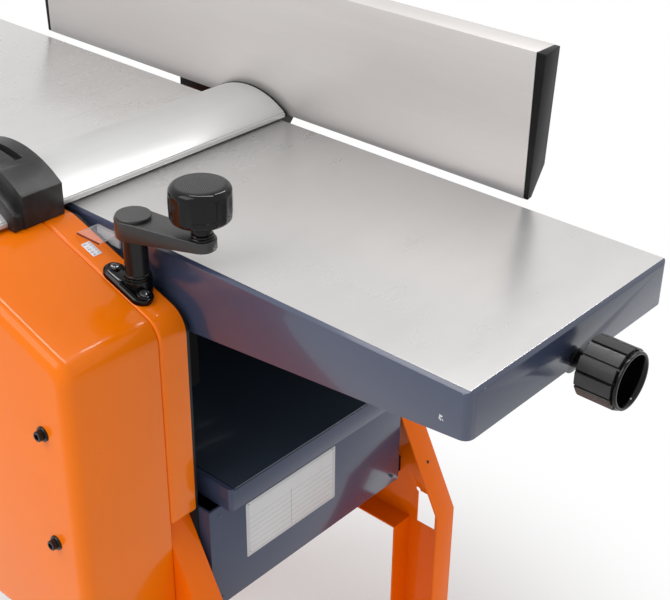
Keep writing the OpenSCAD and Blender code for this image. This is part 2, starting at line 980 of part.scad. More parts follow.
module column_sleeve() {
    outer = column_r + sleeve_t;
    color("darkslategray")
    difference() {
        union() {
            rod_z(0, 0, zd(sleeve_top + sleeve_len), zd(sleeve_top), outer);
            rod_z(0, 0, zd(box_bottom - 3), zd(box_bottom - 9), outer + 1.5);
        }
        rod_z(0, 0, zd(sleeve_top + sleeve_len + cut), zd(sleeve_top - cut), column_r + run_gap);
    }
}

module lift_screw() {
    color("silver")
    rod_z(lift_x, 0, zd(bed_drop + bed_floor + screw_len), zd(bed_drop + bed_floor), screw_r);
}

module lift_nut() {
    color("goldenrod")
    difference() {
        union() {
            rod_z(lift_x, 0, zd(box_bottom - 3 - seat_gap), zd(box_bottom - 14), 22);
            rod_z(lift_x, 0, zd(chain_depth + chain_h + nut_tail), zd(box_bottom - 4), 16);
            rod_z(lift_x, 0, zd(chain_depth + chain_h), zd(chain_depth), nut_sprocket_r);
        }
        rod_z(lift_x, 0, zd(chain_depth + chain_h + nut_tail + cut), zd(box_bottom - 14 - cut),
            screw_r + run_gap);
    }
}

module lift_chain() {
    translate([0, 0, zd(chain_depth + chain_h)])
        linear_extrude(chain_h)
            loop_ring([lift_x, 0], nut_sprocket_r + seat_gap, [crank_x, crank_y],
                crank_sprocket_r + seat_gap, chain_t);
}

module drive_chains() {
    color("gray") {
        feed_chain();
        lift_chain();
    }
}

// Crank

flange_x = 161.3;
flange_y = crank_y - 7.5;
flange_len = 56;
flange_w = 21;
flange_t = 6;
boss_r = 12;
boss_depth = 22;
flange_screw_x = 19.6;

// Places children on the sloping shoulder, at a distance from the cutterblock's axis
module on_shoulder(x, y) {
    translate([x, y, zd(shoulder_depth(x))]) rotate([0, shoulder_angle, 0]) children();
}

module at_flange_screws() {
    on_shoulder(flange_x, flange_y)
        for (x = [-flange_screw_x, flange_screw_x]) translate([x, 0, 0]) children();
}

module crank_flange() {
    r = flange_w/2;
    half = flange_len/2 - r;
    color("black")
    difference() {
        union() {
            on_shoulder(flange_x, flange_y) {
                span(-half, half, -r, r, 0, flange_t);
                for (x = [-half, half]) translate([x, 0, 0]) cylinder(h = flange_t, r = r);
            }
            difference() {
                rod_z(crank_x, crank_y, zd(shoulder_depth(crank_x) + 6), zd(boss_depth), boss_r);
                on_shoulder(crank_x, crank_y) span(-40, 40, -30, 30, -30, 0);
            }
        }
        rod_z(crank_x, crank_y, zd(80), zd(boss_depth - 12), post_r + run_gap);
        at_flange_screws() translate([0, 0, -cut]) cylinder(h = flange_t + 2*cut, r = 2.3);
    }
}

module crank_flange_screws() {
    color("dimgray")
    at_flange_screws()
        difference() {
            union() {
                translate([0, 0, -5]) cylinder(h = flange_t + 5 + cut, r = 2);
                translate([0, 0, flange_t]) cylinder(h = 2.4, r = 4);
            }
            for (a = [0, 90])
                rotate([0, 0, a]) span(-2.6, 2.6, -0.5, 0.5, flange_t + 0.9, flange_t + 4);
        }
}

module crank_shaft() {
    color("black") {
        rod_z(crank_x, crank_y, zd(chain_depth + chain_h + nut_tail), zd(-arm_z - arm_h + 6),
            post_r);
        rod_z(crank_x, crank_y, zd(boss_depth - seat_gap), zd(-arm_z), post_tube_r);
        rod_z(crank_x, crank_y, zd(chain_depth + chain_h), zd(chain_depth), crank_sprocket_r);
    }
}

module at_crank() {
    translate([crank_x, crank_y, table_z]) rotate([0, 0, crank_dir]) children();
}

module crank_arm() {
    color("dimgray")
    difference() {
        union() {
            at_crank() {
                hull() {
                    translate([0, 0, arm_z]) cylinder(h = arm_h, r = hub_r, $fn = 32);
                    translate([crank_throw, 0, arm_z]) cylinder(h = arm_end_h, r = arm_end_r, $fn = 32);
                }
                translate([0, 0, arm_z + arm_h]) cylinder(h = cap_h, r = hub_r - 1.2);
                translate([crank_throw, 0, arm_z + arm_end_h - cut])
                    cylinder(h = collar_h + cut, r = collar_r);
                translate([crank_throw, 0, arm_z + arm_end_h])
                    cylinder(h = knob_high - 9 - arm_z - arm_end_h, r = crank_pin_r);
            }
        }
        rod_z(crank_x, crank_y, zd(-arm_z + cut), zd(-arm_z - arm_h + 6), post_r);
    }
}

module crank_knob() {
    scallops = 16;
    edge = 6;
    chamfer = 2;
    color("black")
    at_crank()
        translate([crank_throw, 0, 0])
            difference() {
                rotate_extrude()
                    polygon([
                        [crank_pin_r + run_gap, knob_neck_z], [neck_r, knob_neck_z],
                        [neck_r, knob_low], [crank_knob_r - chamfer, knob_low],
                        [crank_knob_r, knob_low + chamfer*2],
                        for (i = [0:arc_n])
                            [crank_knob_r - edge + edge*cos(90*i/arc_n),
                                knob_high - edge*0.8 + edge*0.8*sin(90*i/arc_n)],
                        [0, knob_high], [0, knob_high - 8.7], [crank_pin_r + run_gap, knob_high - 8.7]]);
                for (i = [0:scallops - 1])
                    rotate([0, 0, 360*i/scallops])
                        translate([crank_knob_r + 6.2, 0, knob_low - cut])
                            cylinder(h = knob_high - knob_low - edge, r = 7);
            }
}

// Bridge guard

// Section of the guard: an arch that stands on two flat lips
module guard_outline(grow) {
    arch = guard_arch + grow;
    lip = guard_half + grow;
    intersection() {
        translate([0, guard_crown - guard_arc_r]) circle(guard_arc_r + grow);
        translate([-arch, guard_low - grow]) square([2*arch, guard_crown + 2*grow]);
    }
    translate([-lip, guard_low - grow]) square([2*lip, guard_lip + 2*grow]);
}

module guard_section() {
    inner = guard_arch - guard_t;
    difference() {
        guard_outline(0);
        intersection() {
            translate([0, guard_crown - guard_arc_r]) circle(guard_arc_r - guard_t);
            translate([-inner, -cut]) square([2*inner, guard_crown]);
        }
    }
}

module guard_bridge() {
    color("gainsboro")
    translate([0, 0, table_z])
        along_y(guard_end_y - guard_len, guard_end_y) guard_section();
}

// Arched slice of the guard holder, lowered by a drop
module holder_slice(y0, y1, drop, half) {
    along_y(y0, y1)
        difference() {
            intersection() {
                translate([0, holder_crown - holder_arc_r]) circle(holder_arc_r - drop);
                translate([-half, 0.2]) square([2*half, holder_crown + cut]);
            }
            guard_outline(holder_gap);
            translate([-guard_half - holder_gap, -cut])
                square([2*(guard_half + holder_gap), guard_low + 2*cut]);
        }
}

// Block with a pointed slot, a lower ledge in front and a rib along the ledge
module guard_holder() {
    slot_half = 29;
    slot_y = -plate_out - 28;
    slot_w2 = 8;
    rib_w = 3;
    color("black")
    difference() {
        union() {
            translate([0, 0, table_z]) {
                holder_slice(-holder_ledge, -holder_back, 0, holder_half);
                holder_slice(-holder_front, -holder_ledge + cut, ledge_drop, holder_half - 1.5);
                holder_slice(-holder_front, -holder_front + rib_w, ledge_drop - 2.5,
                    holder_half - 0.5);
            }
            left_and_right()
                rod_z(holder_pin_x, -holder_pin_y, table_z - holder_pin_len, table_z + 12,
                    holder_pin_r);
        }
        span(-slot_half, slot_half, slot_y, slot_y + slot_w2,
            table_z + holder_crown - 8, table_z + holder_crown + cut);
    }
}

module guard_lock_knob() {
    lobes = 6;
    z = table_z + 18;
    y = -(plate_out + 33);
    color("black")
    difference() {
        union() {
            rod_x(-holder_half - 22, -holder_half - 8, y, z, 15);
            rod_x(-holder_half - 8, -holder_half - seat_gap, y, z, 8);
        }
        for (i = [0:lobes - 1])
            translate([-holder_half - 22 - cut, y, z])
                rotate([360*i/lobes, 0, 0]) translate([0, 17, 0]) rotate([0, 90, 0])
                    cylinder(h = 14 + cut, r = 5);
    }
}

// Fence

function fence_points(inset) =
    let (back = fence_y + fence_t)
    [[fence_y + inset, fence_low + inset], [fence_y + fence_foot - inset*0.4, fence_low + inset],
        [back - inset, fence_bevel_z + inset*0.4], [back - inset, fence_low + fence_h - inset],
        [fence_y + inset, fence_low + fence_h - inset]];

module fence() {
    slot_gap = 1;
    color("silver")
    difference() {
        translate([0, 0, table_z])
            along_x(-fence_len/2, fence_len/2)
                difference() {
                    polygon(fence_points(0));
                    intersection() {
                        polygon(fence_points(fence_wall));
                        translate([fence_y, fence_solid_z]) square([fence_t, fence_h]);
                    }
                    translate([tilt_y, tilt_z]) circle(tilt_pin_r + run_gap);
                }
        left_and_right()
            span(arm_x - fence_arm_w/2 - slot_gap, arm_x + fence_arm_w/2 + slot_gap,
                fence_y + fence_wall, fence_y + fence_t + cut, table_z, table_z + 45);
    }
}

// How far an end cap stands out of the fence, at a place along Y and a height above the tables
function cap_reach(y, z) = 5 + 0.036*(z - fence_low) - 0.15*(y - fence_y);

module fence_caps() {
    color("black")
    left_and_right()
        loft([for (end = [0, 1])
            [for (p = fence_points(0))
                [fence_len/2 + end*cap_reach(p[0], p[1]), p[0], table_z + p[1]]]]);
}

module fence_slide_plate() {
    x0 = arm_x - fence_arm_w/2;
    x1 = arm_x + fence_arm_w/2;
    z0 = table_z + plate_low;
    color("lightsteelblue")
    difference() {
        union() {
            left_and_right() {
                rod_x(x0, x1, tilt_y, table_z + tilt_z, 4.6);
                rod_x(x0 - 12, x1 + 12, tilt_y, table_z + tilt_z, tilt_pin_r);
                span(x0, x1, tilt_y, slide_start + 20, z0, z0 + plate_h);
            }
            span(-x1, x1, slide_start, slide_start + 20, z0, z0 + plate_h);
            span(-tongue_half, tongue_half, slide_start, slide_end, z0, z0 + plate_h);
        }
        span(-lock_r - 0.3, lock_r + 0.3, lock_y - lock_r - 1, lock_y + fence_travel + lock_r + 1,
            z0 - cut, z0 + plate_h + cut);
    }
}

// Bracket behind the rear housing, wider on the outfeed side, with a shelf for the slide plate
module fence_base() {
    half = tongue_half + 8;
    z1 = table_z + plate_low - seat_gap;
    rib_t = 7;
    color("darkslategray")
    difference() {
        union() {
            span(-bracket_left, bracket_right, web_out + 0.1, web_out + bracket_t, zd(bracket_h),
                z1);
            span(-half, half, web_out + 0.1, shelf_end, z1 - shelf_t, z1);
            left_and_right() {
                span(tongue_half + seat_gap, half, slide_start + 36, shelf_end, z1 - cut,
                    z1 + plate_h);
            }
            for (x = [-half, bracket_right - rib_t])
                along_x(x, x + rib_t)
                    polygon([[web_out + bracket_t - cut, z1 - shelf_t + cut],
                        [lock_y - 20, z1 - shelf_t + cut], [lock_y - 20, z1 - shelf_t - 4],
                        [web_out + bracket_t - cut, zd(bracket_h - 4)]]);
        }
        rod_z(0, lock_y, z1 - shelf_t - cut, z1 + cut, lock_r + 0.1);
    }
}

module fence_lock_lever() {
    top = table_z + plate_low + plate_h + 0.2;
    low = table_z + plate_low - seat_gap - shelf_t - 0.2;
    color("black") {
        rod_z(0, lock_y, top, top + 5, 8.5);
        rod_z(0, lock_y, low - 12, top + 1, lock_r);
        rod_z(0, lock_y, low - 16, low, 11);
        translate([0, lock_y, low - 11]) rotate([0, 100, 40]) cylinder(h = 66, r = 5.5);
        translate([0, lock_y, low - 11]) rotate([0, 100, 40])
            translate([0, 0, 66]) sphere(r = 9);
    }
}

// Stand

// The stand's outline drawn in by t: down a leg's outer edge, then up its inner edge
function stand_points(t) =
    let (slant = t*sqrt(1 + stand_slope*stand_slope))
    let (top_x = stand_top_half + t*stand_slope - slant)
    let (foot = stand_foot_half - t)
    let (bend = stand_top + (foot + slant - stand_top_half)/stand_slope)
    mirrored([
        [-top_x, zd(stand_top + t)], [-foot, zd(bend)], [-foot, foot_h + t],
        [-stand_foot_half + leg_w - t, foot_h + t],
        [-stand_foot_half + leg_w - t, zd(bar_bottom - t)]]);

// Pressed inverted U of sheet with folded edges, drawn for the rear
module stand_frame() {
    win_x = stand_foot_half - leg_w + 12;
    difference() {
        along_y(plate_out, web_out) polygon(stand_points(0));
        along_y(plate_out - cut, web_in) polygon(stand_points(sheet_t));
        left_and_right() {
            rod_z(foot_x, foot_y, foot_h - cut, foot_h + sheet_t + cut, floor_bolt_r);
            for (depth = bolt_depths)
                rod_y(bolt_x, web_in - cut, web_out + cut, zd(depth), bolt_r + run_gap);
            span(win_x, win_x + 26, web_in - cut, web_out + cut, zd(bar_bottom), zd(bar_bottom - 46));
            rod_y(win_x, web_in - cut, web_out + cut, zd(bar_bottom - 46), 3.5);
        }
    }
}

module stand_frame_front() {
    color("orangered")
    difference() {
        mirror([0, 1, 0]) stand_frame();
        rod_y(motor_x, -web_out - cut, -web_in + cut, zd(motor_depth), shaft_r + 12);
        rod_z(crank_x, crank_y, zd(stand_top + sheet_t + cut), zd(stand_top - cut), post_r + 4);
    }
}

module stand_frame_rear() {
    color("orangered") stand_frame();
}

module stand_rails() {
    wall = 3;
    color("darkslategray")
    left_and_right()
        difference() {
            span(rail_x, rail_x + rail_w, -web_in, web_in, zd(box_bottom + rail_h), zd(box_bottom));
            span(rail_x + wall, rail_x + rail_w - wall, -web_in - cut, web_in + cut,
                zd(box_bottom + rail_h - wall), zd(box_bottom + wall));
        }
}

module stand_feet() {
    color("black")
    left_and_right() front_and_rear()
        difference() {
            span(stand_foot_half - leg_w, stand_foot_half, plate_out, web_out, 0, foot_h);
            rod_z(foot_x, foot_y, -cut, foot_h + cut, floor_bolt_r);
        }
}

module frame_bolts() {
    color("silver")
    left_and_right() front_and_rear()
        for (depth = bolt_depths) {
            rod_y(bolt_x, plate_out, web_in, zd(depth), 10);
            translate([bolt_x, web_out, zd(depth)])
                rotate([-90, 0, 0]) cylinder(h = 5.5, r = 7.5, $fn = 6);
            rod_y(bolt_x, web_in - cut, web_out + cut, zd(depth), bolt_r);
        }
}

module motor() {
    rib_count = 20;
    foot_half = 45;
    end_y = motor_y + motor_len;
    color("dimgray")
    difference() {
        union() {
            rod_y(motor_x, motor_y, end_y - 40, zd(motor_depth), motor_r - 6);
            rod_y(motor_x, motor_y - 6, motor_y + 12, zd(motor_depth), motor_r - 1);
            rod_y(motor_x, end_y - 42, end_y, zd(motor_depth), motor_r - 1);
            for (i = [0:rib_count - 1])
                translate([motor_x, 0, zd(motor_depth)])
                    rotate([0, 360*i/rib_count, 0])
                        span(motor_r - 10, motor_r - 2, motor_y + 10, end_y - 41, -1.2, 1.2);
            span(motor_x - foot_half, motor_x + foot_half, motor_y + 15, motor_y + motor_len - 80,
                zd(box_bottom - 3), zd(motor_depth + motor_r - 14));
        }
        rod_y(motor_x, motor_y - 6 - cut, motor_y + motor_bore, zd(motor_depth), shaft_r + run_gap);
    }
}

// Switch

button_x = 26;
button_r = 11;

module switch_box() {
    wall = 3;
    z0 = zd(switch_depth + switch_h);
    z1 = zd(switch_depth);
    color("black")
    difference() {
        span(-switch_half, switch_half, -web_out - switch_d, -web_out, z0, z1);
        span(-switch_half + wall, switch_half - wall, -web_out - switch_d + wall, -web_out - wall,
            z0 + wall, z1 - wall);
        left_and_right()
            rod_y(button_x, -web_out - switch_d - cut, -web_out - switch_d + wall + cut,
                (z0 + z1)/2, button_r + seat_gap);
    }
}

module push_button(x) {
    y = -web_out - switch_d;
    rod_y(x, y - 5, y + 8, zd(switch_depth + switch_h/2), button_r);
}

module on_button() {
    color("green") push_button(-button_x);
}

module off_button() {
    color("red") push_button(button_x);
}

module cable_gland() {
    z = zd(switch_depth + switch_h/2);
    y = -web_out - switch_d/2;
    color("black")
    difference() {
        union() {
            translate([-switch_half - 6, y, z]) rotate([0, 90, 0]) cylinder(h = 6, r = 11, $fn = 6);
            rod_x(-switch_half - 16, -switch_half - 6 + 0.5, y, z, 8.5);
        }
        rod_x(-switch_half - 16 - cut, -switch_half + cut, y, z, 4);
    }
}

// Extraction hood

module hood_form(inset) {
    hull() {
        span(-hood_x - 3, -hood_x, -hood_half_w + inset, hood_half_w - inset,
            zd(hood_low - inset), zd(hood_high + inset));
        rod_x(-hood_x - hood_depth, -hood_x - hood_depth + 2, 0, zd(port_depth), port_r - inset,
            $fn = 32);
    }
}

module extraction_hood() {
    port_end = -hood_x - hood_depth - port_len;
    arm_in = lug_y - 12;
    arm_out = lug_y - 0.5;
    color("dimgray")
    difference() {
        union() {
            hood_form(0);
            rod_x(port_end, -hood_x - hood_depth + 1, 0, zd(port_depth), port_r);
            front_and_rear() {
                rod_y(-hinge_x, arm_in, arm_out, zd(hinge_depth), 9);
                along_y(arm_in, arm_out)
                    polygon([[-hinge_x - 9, zd(hinge_depth)], [-hinge_x + 3, zd(hinge_depth - 8)],
                        [-hood_x - 1, zd(hood_low - 5)], [-hood_x - 6, zd(hood_low - 5)]]);
            }
        }
        translate([cut, 0, 0]) hood_form(hood_wall);
        rod_x(port_end - cut, -hood_x - hood_depth + 4, 0, zd(port_depth), port_r - 2.5);
        front_and_rear()
            rod_y(-hinge_x, arm_in - cut, arm_out + cut, zd(hinge_depth), hinge_pin_r + run_gap);
    }
}

module hood_hinge() {
    color("silver")
    front_and_rear() {
        difference() {
            union() {
                span(-hinge_x - 4, -box_half, lug_y, lug_y + 5, zd(hinge_depth + 8),
                    zd(hinge_depth - 8));
                rod_y(-hinge_x - 1, lug_y, lug_y + 5, zd(hinge_depth), 8);
            }
            rod_y(-hinge_x, lug_y - cut, lug_y + 5 + cut, zd(hinge_depth), hinge_pin_r);
        }
        rod_y(-hinge_x, lug_y - 14, lug_y + 5, zd(hinge_depth), hinge_pin_r);
    }
}

base_box();
side_plate_front();
side_plate_rear();
side_housing_front();
side_housing_rear();
side_cover();
cover_screws();
stand_frame_front();
stand_frame_rear();
stand_rails();
stand_feet();
frame_bolts();
outfeed_table();
table_brackets();
head_bars();
bearing_blocks();
cutter_bearings();
column_sleeve();
crank_flange();
crank_flange_screws();
label_plates();
fence_base();
motor();
drive_belt();
drive_chains();
switch_box();
cable_gland();
hood_hinge();
infeed_table();
table_runners();
depth_pointer();
depth_knob();
depth_screw();
depth_nut();
cutterblock();
cutter_knives();
gib_bars();
block_pulley();
motor_rotor();
infeed_roller();
outfeed_roller();
kickback_fingers();
bed_top();
bed_frame();
bed_column();
lift_screw();
lift_nut();
crank_shaft();
crank_arm();
crank_knob();
guard_holder();
guard_bridge();
guard_lock_knob();
fence();
fence_caps();
fence_slide_plate();
fence_lock_lever();
extraction_hood();
on_button();
off_button();
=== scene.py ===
import json
import math

import bmesh
import bpy
from bpy.props import FloatProperty, FloatVectorProperty, IntProperty, PointerProperty
from mathutils import Matrix, Vector


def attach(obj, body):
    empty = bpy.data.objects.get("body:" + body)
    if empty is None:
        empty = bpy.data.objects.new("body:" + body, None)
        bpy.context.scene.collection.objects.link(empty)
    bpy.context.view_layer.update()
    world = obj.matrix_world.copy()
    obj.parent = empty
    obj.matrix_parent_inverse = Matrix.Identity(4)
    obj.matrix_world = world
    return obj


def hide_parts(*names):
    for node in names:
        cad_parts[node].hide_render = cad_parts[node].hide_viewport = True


bl_info = {
    "name": "Planer Thicknesser",
    "version": (1, 0, 0),
    "blender": (4, 5, 0),
    "location": "3D View > Sidebar > Planer",
    "description": "Finishes the solids of a planer thicknesser with detailed pieces and paint",
    "category": "Object",
}

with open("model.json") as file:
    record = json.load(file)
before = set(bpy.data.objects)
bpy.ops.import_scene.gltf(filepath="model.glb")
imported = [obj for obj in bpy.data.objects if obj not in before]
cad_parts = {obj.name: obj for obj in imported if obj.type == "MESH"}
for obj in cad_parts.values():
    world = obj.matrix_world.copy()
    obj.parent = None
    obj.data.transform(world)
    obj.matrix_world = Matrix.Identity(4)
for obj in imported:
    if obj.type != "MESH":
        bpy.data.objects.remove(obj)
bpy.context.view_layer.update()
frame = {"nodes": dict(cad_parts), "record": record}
nodes = frame["nodes"]
mm = 0.001
body_of_node = {n: b for b, members in frame["record"]["behaviour"]["bodies"].items()
                for n in members}


# Sizes of the solids that the pieces are fitted to, in millimetres from the floor's origin
TABLE_Z = 870  # height of the tables' faces
TABLE_Y = 140  # half the tables' width
TABLE_END = 505  # from the cutter to a table's end
PLATE_OUT = 148  # outer face of the side plates
WEB_OUT = 178  # outer face of the side housings
COVER_FRONT = 277  # outer face of the drive cover
HOUSING_HALF = 213  # half the housings' length
SHOULDER_HALF = 68  # half the length of their flat top
SHOULDER_ANGLE = math.radians(18.7)  # slope of their shoulders
HOUSING_TOP = 0.5  # drop from the tables to their flat top
PAN_BOTTOM = 262  # drop to the front housing's lower edge
COVER_BOTTOM = 375  # drop to the cover's lower edge
COVER_BACK = 178.35  # rear edge of the cover
CRANK = (166.3, -159)
CRANK_TURN = math.radians(20.2)
CRANK_THROW = 63.6  # from the post to the knob's pin
CHIP = (479.9, 838.1)  # X and Z of a chip in the infeed table's paint
FLANGE = (161.3, -166.5)
FLANGE_SCREW = 19.6  # from the flange's middle to each screw
DIAL = (111.5, -164)
POINTER_LINE_Y = -163  # rear edge of the red line on the pointer
PLATE = (224, -30.5, 558)  # middle of the rating plate
DEPTH_SCREW_Z = TABLE_Z - 34
LIFT_SCREW_X = 75
LIFT_SPROCKETS_Z = TABLE_Z - 391
FEED_ROLLERS = (58, TABLE_Z - 49)  # distance from the cutter, and height
KNOB_SEAT = 519  # where the depth knob sits on its screw
CHAIN_PITCH = 6.35
ALONG_X = Matrix.Rotation(math.pi / 2, 4, "Y")

# The photograph's camera: turns in degrees, place in metres, focal length and width in pixels
CAMERA_ANGLES = (41.45, 29.99, 0.68)
CAMERA_PLACE = (0.93489, -0.77374, 1.38442)
CAMERA_FOCUS = 1294.68
PHOTO_WIDTH = 670

# What the operators share, by a short name
trees = {}
finishes = {}
patterns = {}


def srgb(red, green, blue, alpha=1.0):
    """A colour of 0 to 255 as the linear numbers that a shader takes."""
    def linear(value):
        value /= 255
        return value / 12.92 if value <= 0.04045 else ((value + 0.055) / 1.055) ** 2.4
    return (linear(red), linear(green), linear(blue), alpha)


# Node trees


def maths(operation):
    """A method that adds one Math node."""
    return lambda self, *others: self.graph.add(
        "ShaderNodeMath", {"operation": operation}, self, *others)


class Socket:
    """One output of a node tree. Python's operators on it add Math nodes."""

    def __init__(self, graph, socket):
        self.graph, self.socket = graph, socket

    __add__ = __radd__ = maths("ADD")
    __sub__ = maths("SUBTRACT")
    __mul__ = __rmul__ = maths("MULTIPLY")
    __truediv__ = maths("DIVIDE")
    __gt__ = maths("GREATER_THAN")
    __lt__ = maths("LESS_THAN")
    __abs__ = maths("ABSOLUTE")
    fraction = maths("FRACT")

    def __rsub__(self, other):
        return self.graph.add("ShaderNodeMath", {"operation": "SUBTRACT"}, other, self)

    def rise(self, low, high):
        """0 up to low, 1 from high, and smooth between."""
        return self.graph.add(
            "ShaderNodeMapRange", {"interpolation_type": "SMOOTHSTEP"}, self, low, high, 0.0, 1.0)


class Graph:
    """A node tree that calls fill in."""

    def __init__(self, tree):
        self.tree = tree

    def plug(self, value, socket):
        """Gives an input a link or a plain value, or leaves it as it is for None."""
        if isinstance(value, Socket):
            self.tree.links.new(value.socket, socket)
        elif value is not None:
            socket.default_value = value

    def add(self, kind, settings=None, *values, output=0, **named):
        """Adds a node, sets it up, gives its inputs values or links, and returns one output."""
        node = self.tree.nodes.new(kind)
        for key, value in (settings or {}).items():
            setattr(node, key, value)
        for index, value in enumerate(values):
            self.plug(value, node.inputs[index])
        for name, value in named.items():
            self.plug(value, node.inputs[name.replace("_", " ")])
        return Socket(self, node.outputs[output])

    def between(self, factor, first, second):
        """The colour that lies between two, by a factor."""
        return self.add("ShaderNodeMix", {"data_type": "RGBA"}, factor, None, None, None, None,
                        None, first, second, output=2)


class Finish(Graph):
    """A material whose patterns lie on the object's own coordinates."""

    def __init__(self, name, **fixed):
        self.material = bpy.data.materials.new(name)
        self.material.use_nodes = True
        super().__init__(self.material.node_tree)
        self.tree.nodes.clear()
        self.shader = self.tree.nodes.new("ShaderNodeBsdfPrincipled")
        self.surface = self.tree.nodes.new("ShaderNodeOutputMaterial")
        self.tree.links.new(self.shader.outputs[0], self.surface.inputs[0])
        self.place = self.add("ShaderNodeTexCoord", output="Object")
        self.facing = self.add("ShaderNodeTexCoord", output="Normal")
        for key, value in fixed.items():
            self.feed(key, value)

    def feed(self, name, value):
        """Sets one input of the shader."""
        self.plug(value, self.shader.inputs[name.replace("_", " ")])

    def axis(self, name, source=None):
        """One coordinate of the place, or of another vector."""
        return self.add("ShaderNodeSeparateXYZ", None, source or self.place, output=name)

    def grain(self, size, detail=2.0, stretch=(1, 1, 1), distortion=0.0):
        """Noise with marks about size metres across, drawn out by the stretch."""
        scale = tuple(1 / (size * s) for s in stretch)
        moved = self.add("ShaderNodeMapping", None, self.place, Scale=scale)
        return self.add("ShaderNodeTexNoise", None, moved, Scale=1.0, Detail=detail,
                        Distortion=distortion, output="Fac")

    def cells(self, size):
        """The distance to the nearest of points about size metres apart."""
        return self.add("ShaderNodeTexVoronoi", {"feature": "F1"}, self.place,
                        Scale=1 / size, output="Distance")

    def relief(self, *layers):
        """Bumps from pairs of a height from 0 to 1 and its depth in metres."""
        normal = None
        for height, depth in layers:
            normal = self.add("ShaderNodeBump", None, Strength=1.0, Distance=depth,
                              Height=height, Normal=normal)
        self.feed("Normal", normal)


# Materials


def scaled(colour, share):
    """A colour made darker or lighter by a share."""
    return tuple(min(1, c * share) for c in colour[:3]) + (1,)


def paint(name, colour, coat=0.3, rough=0.24, peel=0.000016, sheen=0.22):
    """Stoved paint with orange peel, faint dust and a clear sheen."""
    f = Finish(name, Coat_Weight=coat, Coat_Roughness=0.05, Coat_IOR=1.4, IOR=1.5,
               Specular_IOR_Level=sheen)
    cloud = f.grain(0.11, 3.0)
    fine = f.grain(0.0022, 2.0)
    speck = f.cells(0.013)
    base = f.between(cloud, scaled(colour, 0.92), scaled(colour, 1.048))
    dusty = (speck < 0.035) * 0.2
    f.feed("Base Color", f.between(dusty, base, tuple(0.6 * c + 0.2 for c in colour[:3]) + (1,)))
    f.feed("Roughness", rough + (cloud - 0.5) * 0.14 + (fine - 0.5) * 0.05)
    f.relief((fine, peel), (f.grain(0.03, 1.0), 0.00006))
    return f.material


def ground_table(paint_colour, ground_colour):
    """A table casting: ground on top with fine marks along its length, painted below."""
    f = Finish("ground_table", IOR=1.5, Coat_Roughness=0.06, Coat_IOR=1.4, Specular_IOR_Level=0.5)
    x, z = f.axis("X"), f.axis("Z")
    up = f.axis("Z", f.facing)
    bare = (up > 0.95) * (z > (TABLE_Z - 0.4) * mm)
    cloud = f.grain(0.16, 3.0, distortion=0.4)
    strokes = f.grain(0.02, 1.0, (1, 8, 1))
    swirl = f.grain(0.02, 2.0, (1, 2.4, 1))
    fine = f.grain(0.0022, 2.0)
    tone = (cloud - 0.5) * 0.7 + (swirl - 0.5) * 0.3 + (strokes - 0.5) * 0.12 + 0.5
    metal = f.between(tone, scaled(ground_colour, 0.84), ground_colour)
    enamel = f.between(f.grain(0.11, 3.0), scaled(paint_colour, 0.9), scaled(paint_colour, 1.08))
    # painted shade: the tables' end faces are darkened towards a deep blue
    end = abs(x) > (TABLE_END - 0.3) * mm
    enamel = f.between(end * 0.3, enamel, srgb(40, 46, 62))
    worn = (abs(z - (TABLE_Z - 3) * mm) < 0.0002) * (f.grain(0.006, 3.0) > 0.74)
    chip_x, chip_z = (x - CHIP[0] * mm) * (1 / mm), (z - CHIP[1] * mm) * (1 / mm)
    chip = (chip_x * chip_x + chip_z * chip_z) + (f.grain(0.0022, 2.0) - 0.5) * 30 < 5
    coating = f.between(worn * 0.35, enamel, ground_colour)
    # painted shade: the chip's small dark middle stands in for shade in its pit
    chip_pit_shade = (chip_x * chip_x + chip_z * chip_z < 0.8) * 0.8
    coating = f.between(chip * (f.axis("Y") < (3 - TABLE_Y) * mm),
                        coating, f.between(chip_pit_shade, srgb(206, 206, 210), srgb(50, 54, 64)))
    f.feed("Base Color", f.between(bare, coating, metal))
    f.feed("Metallic", bare * 0.55)
    f.feed("Coat Weight", (1 - bare) * (0.6 - end * 0.5))
    f.feed("Roughness", bare * (0.22 + tone * 0.12) + (1 - bare) * (0.2 + fine * 0.08))
    f.relief((fine * (1 - bare), 0.00003))
    return f.material


def brushed(name, colour, along, rough, metallic):
    """Metal with straight brush marks along one axis."""
    f = Finish(name, Specular_IOR_Level=0.35)
    lines = f.grain(0.0006, 3.0, tuple(70 if along == a else 1 for a in "XYZ"))
    wide = f.grain(0.006, 2.0, tuple(40 if along == a else 1 for a in "XYZ"))
    cloud = f.grain(0.12, 2.0)
    tone = 0.5 + (lines - 0.5) * 0.5 + (wide - 0.5) * 0.3 + (cloud - 0.5) * 0.3
    f.feed("Base Color", f.between(tone, scaled(colour, 0.86), colour))
    f.feed("Metallic", metallic)
    f.feed("Roughness", rough + (lines - 0.5) * 0.12 + (cloud - 0.5) * 0.08)
    f.relief((lines, 0.00001))
    return f.material


def turned(name, colour, rough=0.28, metallic=1.0, pits=0.000012):
    """Machined or plated metal with fine pits and handling marks."""
    f = Finish(name)
    fine = f.grain(0.0008, 3.0)
    cloud = f.grain(0.02, 3.0)
    f.feed("Base Color", f.between(cloud, scaled(colour, 0.78), colour))
    f.feed("Metallic", metallic)
    f.feed("Roughness", rough + (cloud - 0.5) * 0.2 + (fine - 0.5) * 0.08)
    f.relief((fine, pits))
    return f.material


def moulded(name, colour, rough=0.5, grain=0.0005, depth=0.00003, scuff=0.35, sheen=0.12):
    """Moulded plastic or rubber with an etched grain and pale scuffs."""
    f = Finish(name, IOR=1.48, Specular_IOR_Level=sheen)
    etch = f.cells(grain)
    fine = f.grain(grain * 0.9, 2.0)
    cloud = f.grain(0.03, 4.0, distortion=0.5)
    pale = tuple(c * 1.7 + 0.012 for c in colour[:3]) + (1,)
    f.feed("Base Color", f.between(cloud.rise(0.45, 0.8) * scuff, colour, pale))
    f.feed("Roughness", rough + (cloud - 0.5) * 0.2 + (fine - 0.5) * 0.08)
    f.relief((etch, depth), (fine, depth * 0.6))
    return f.material


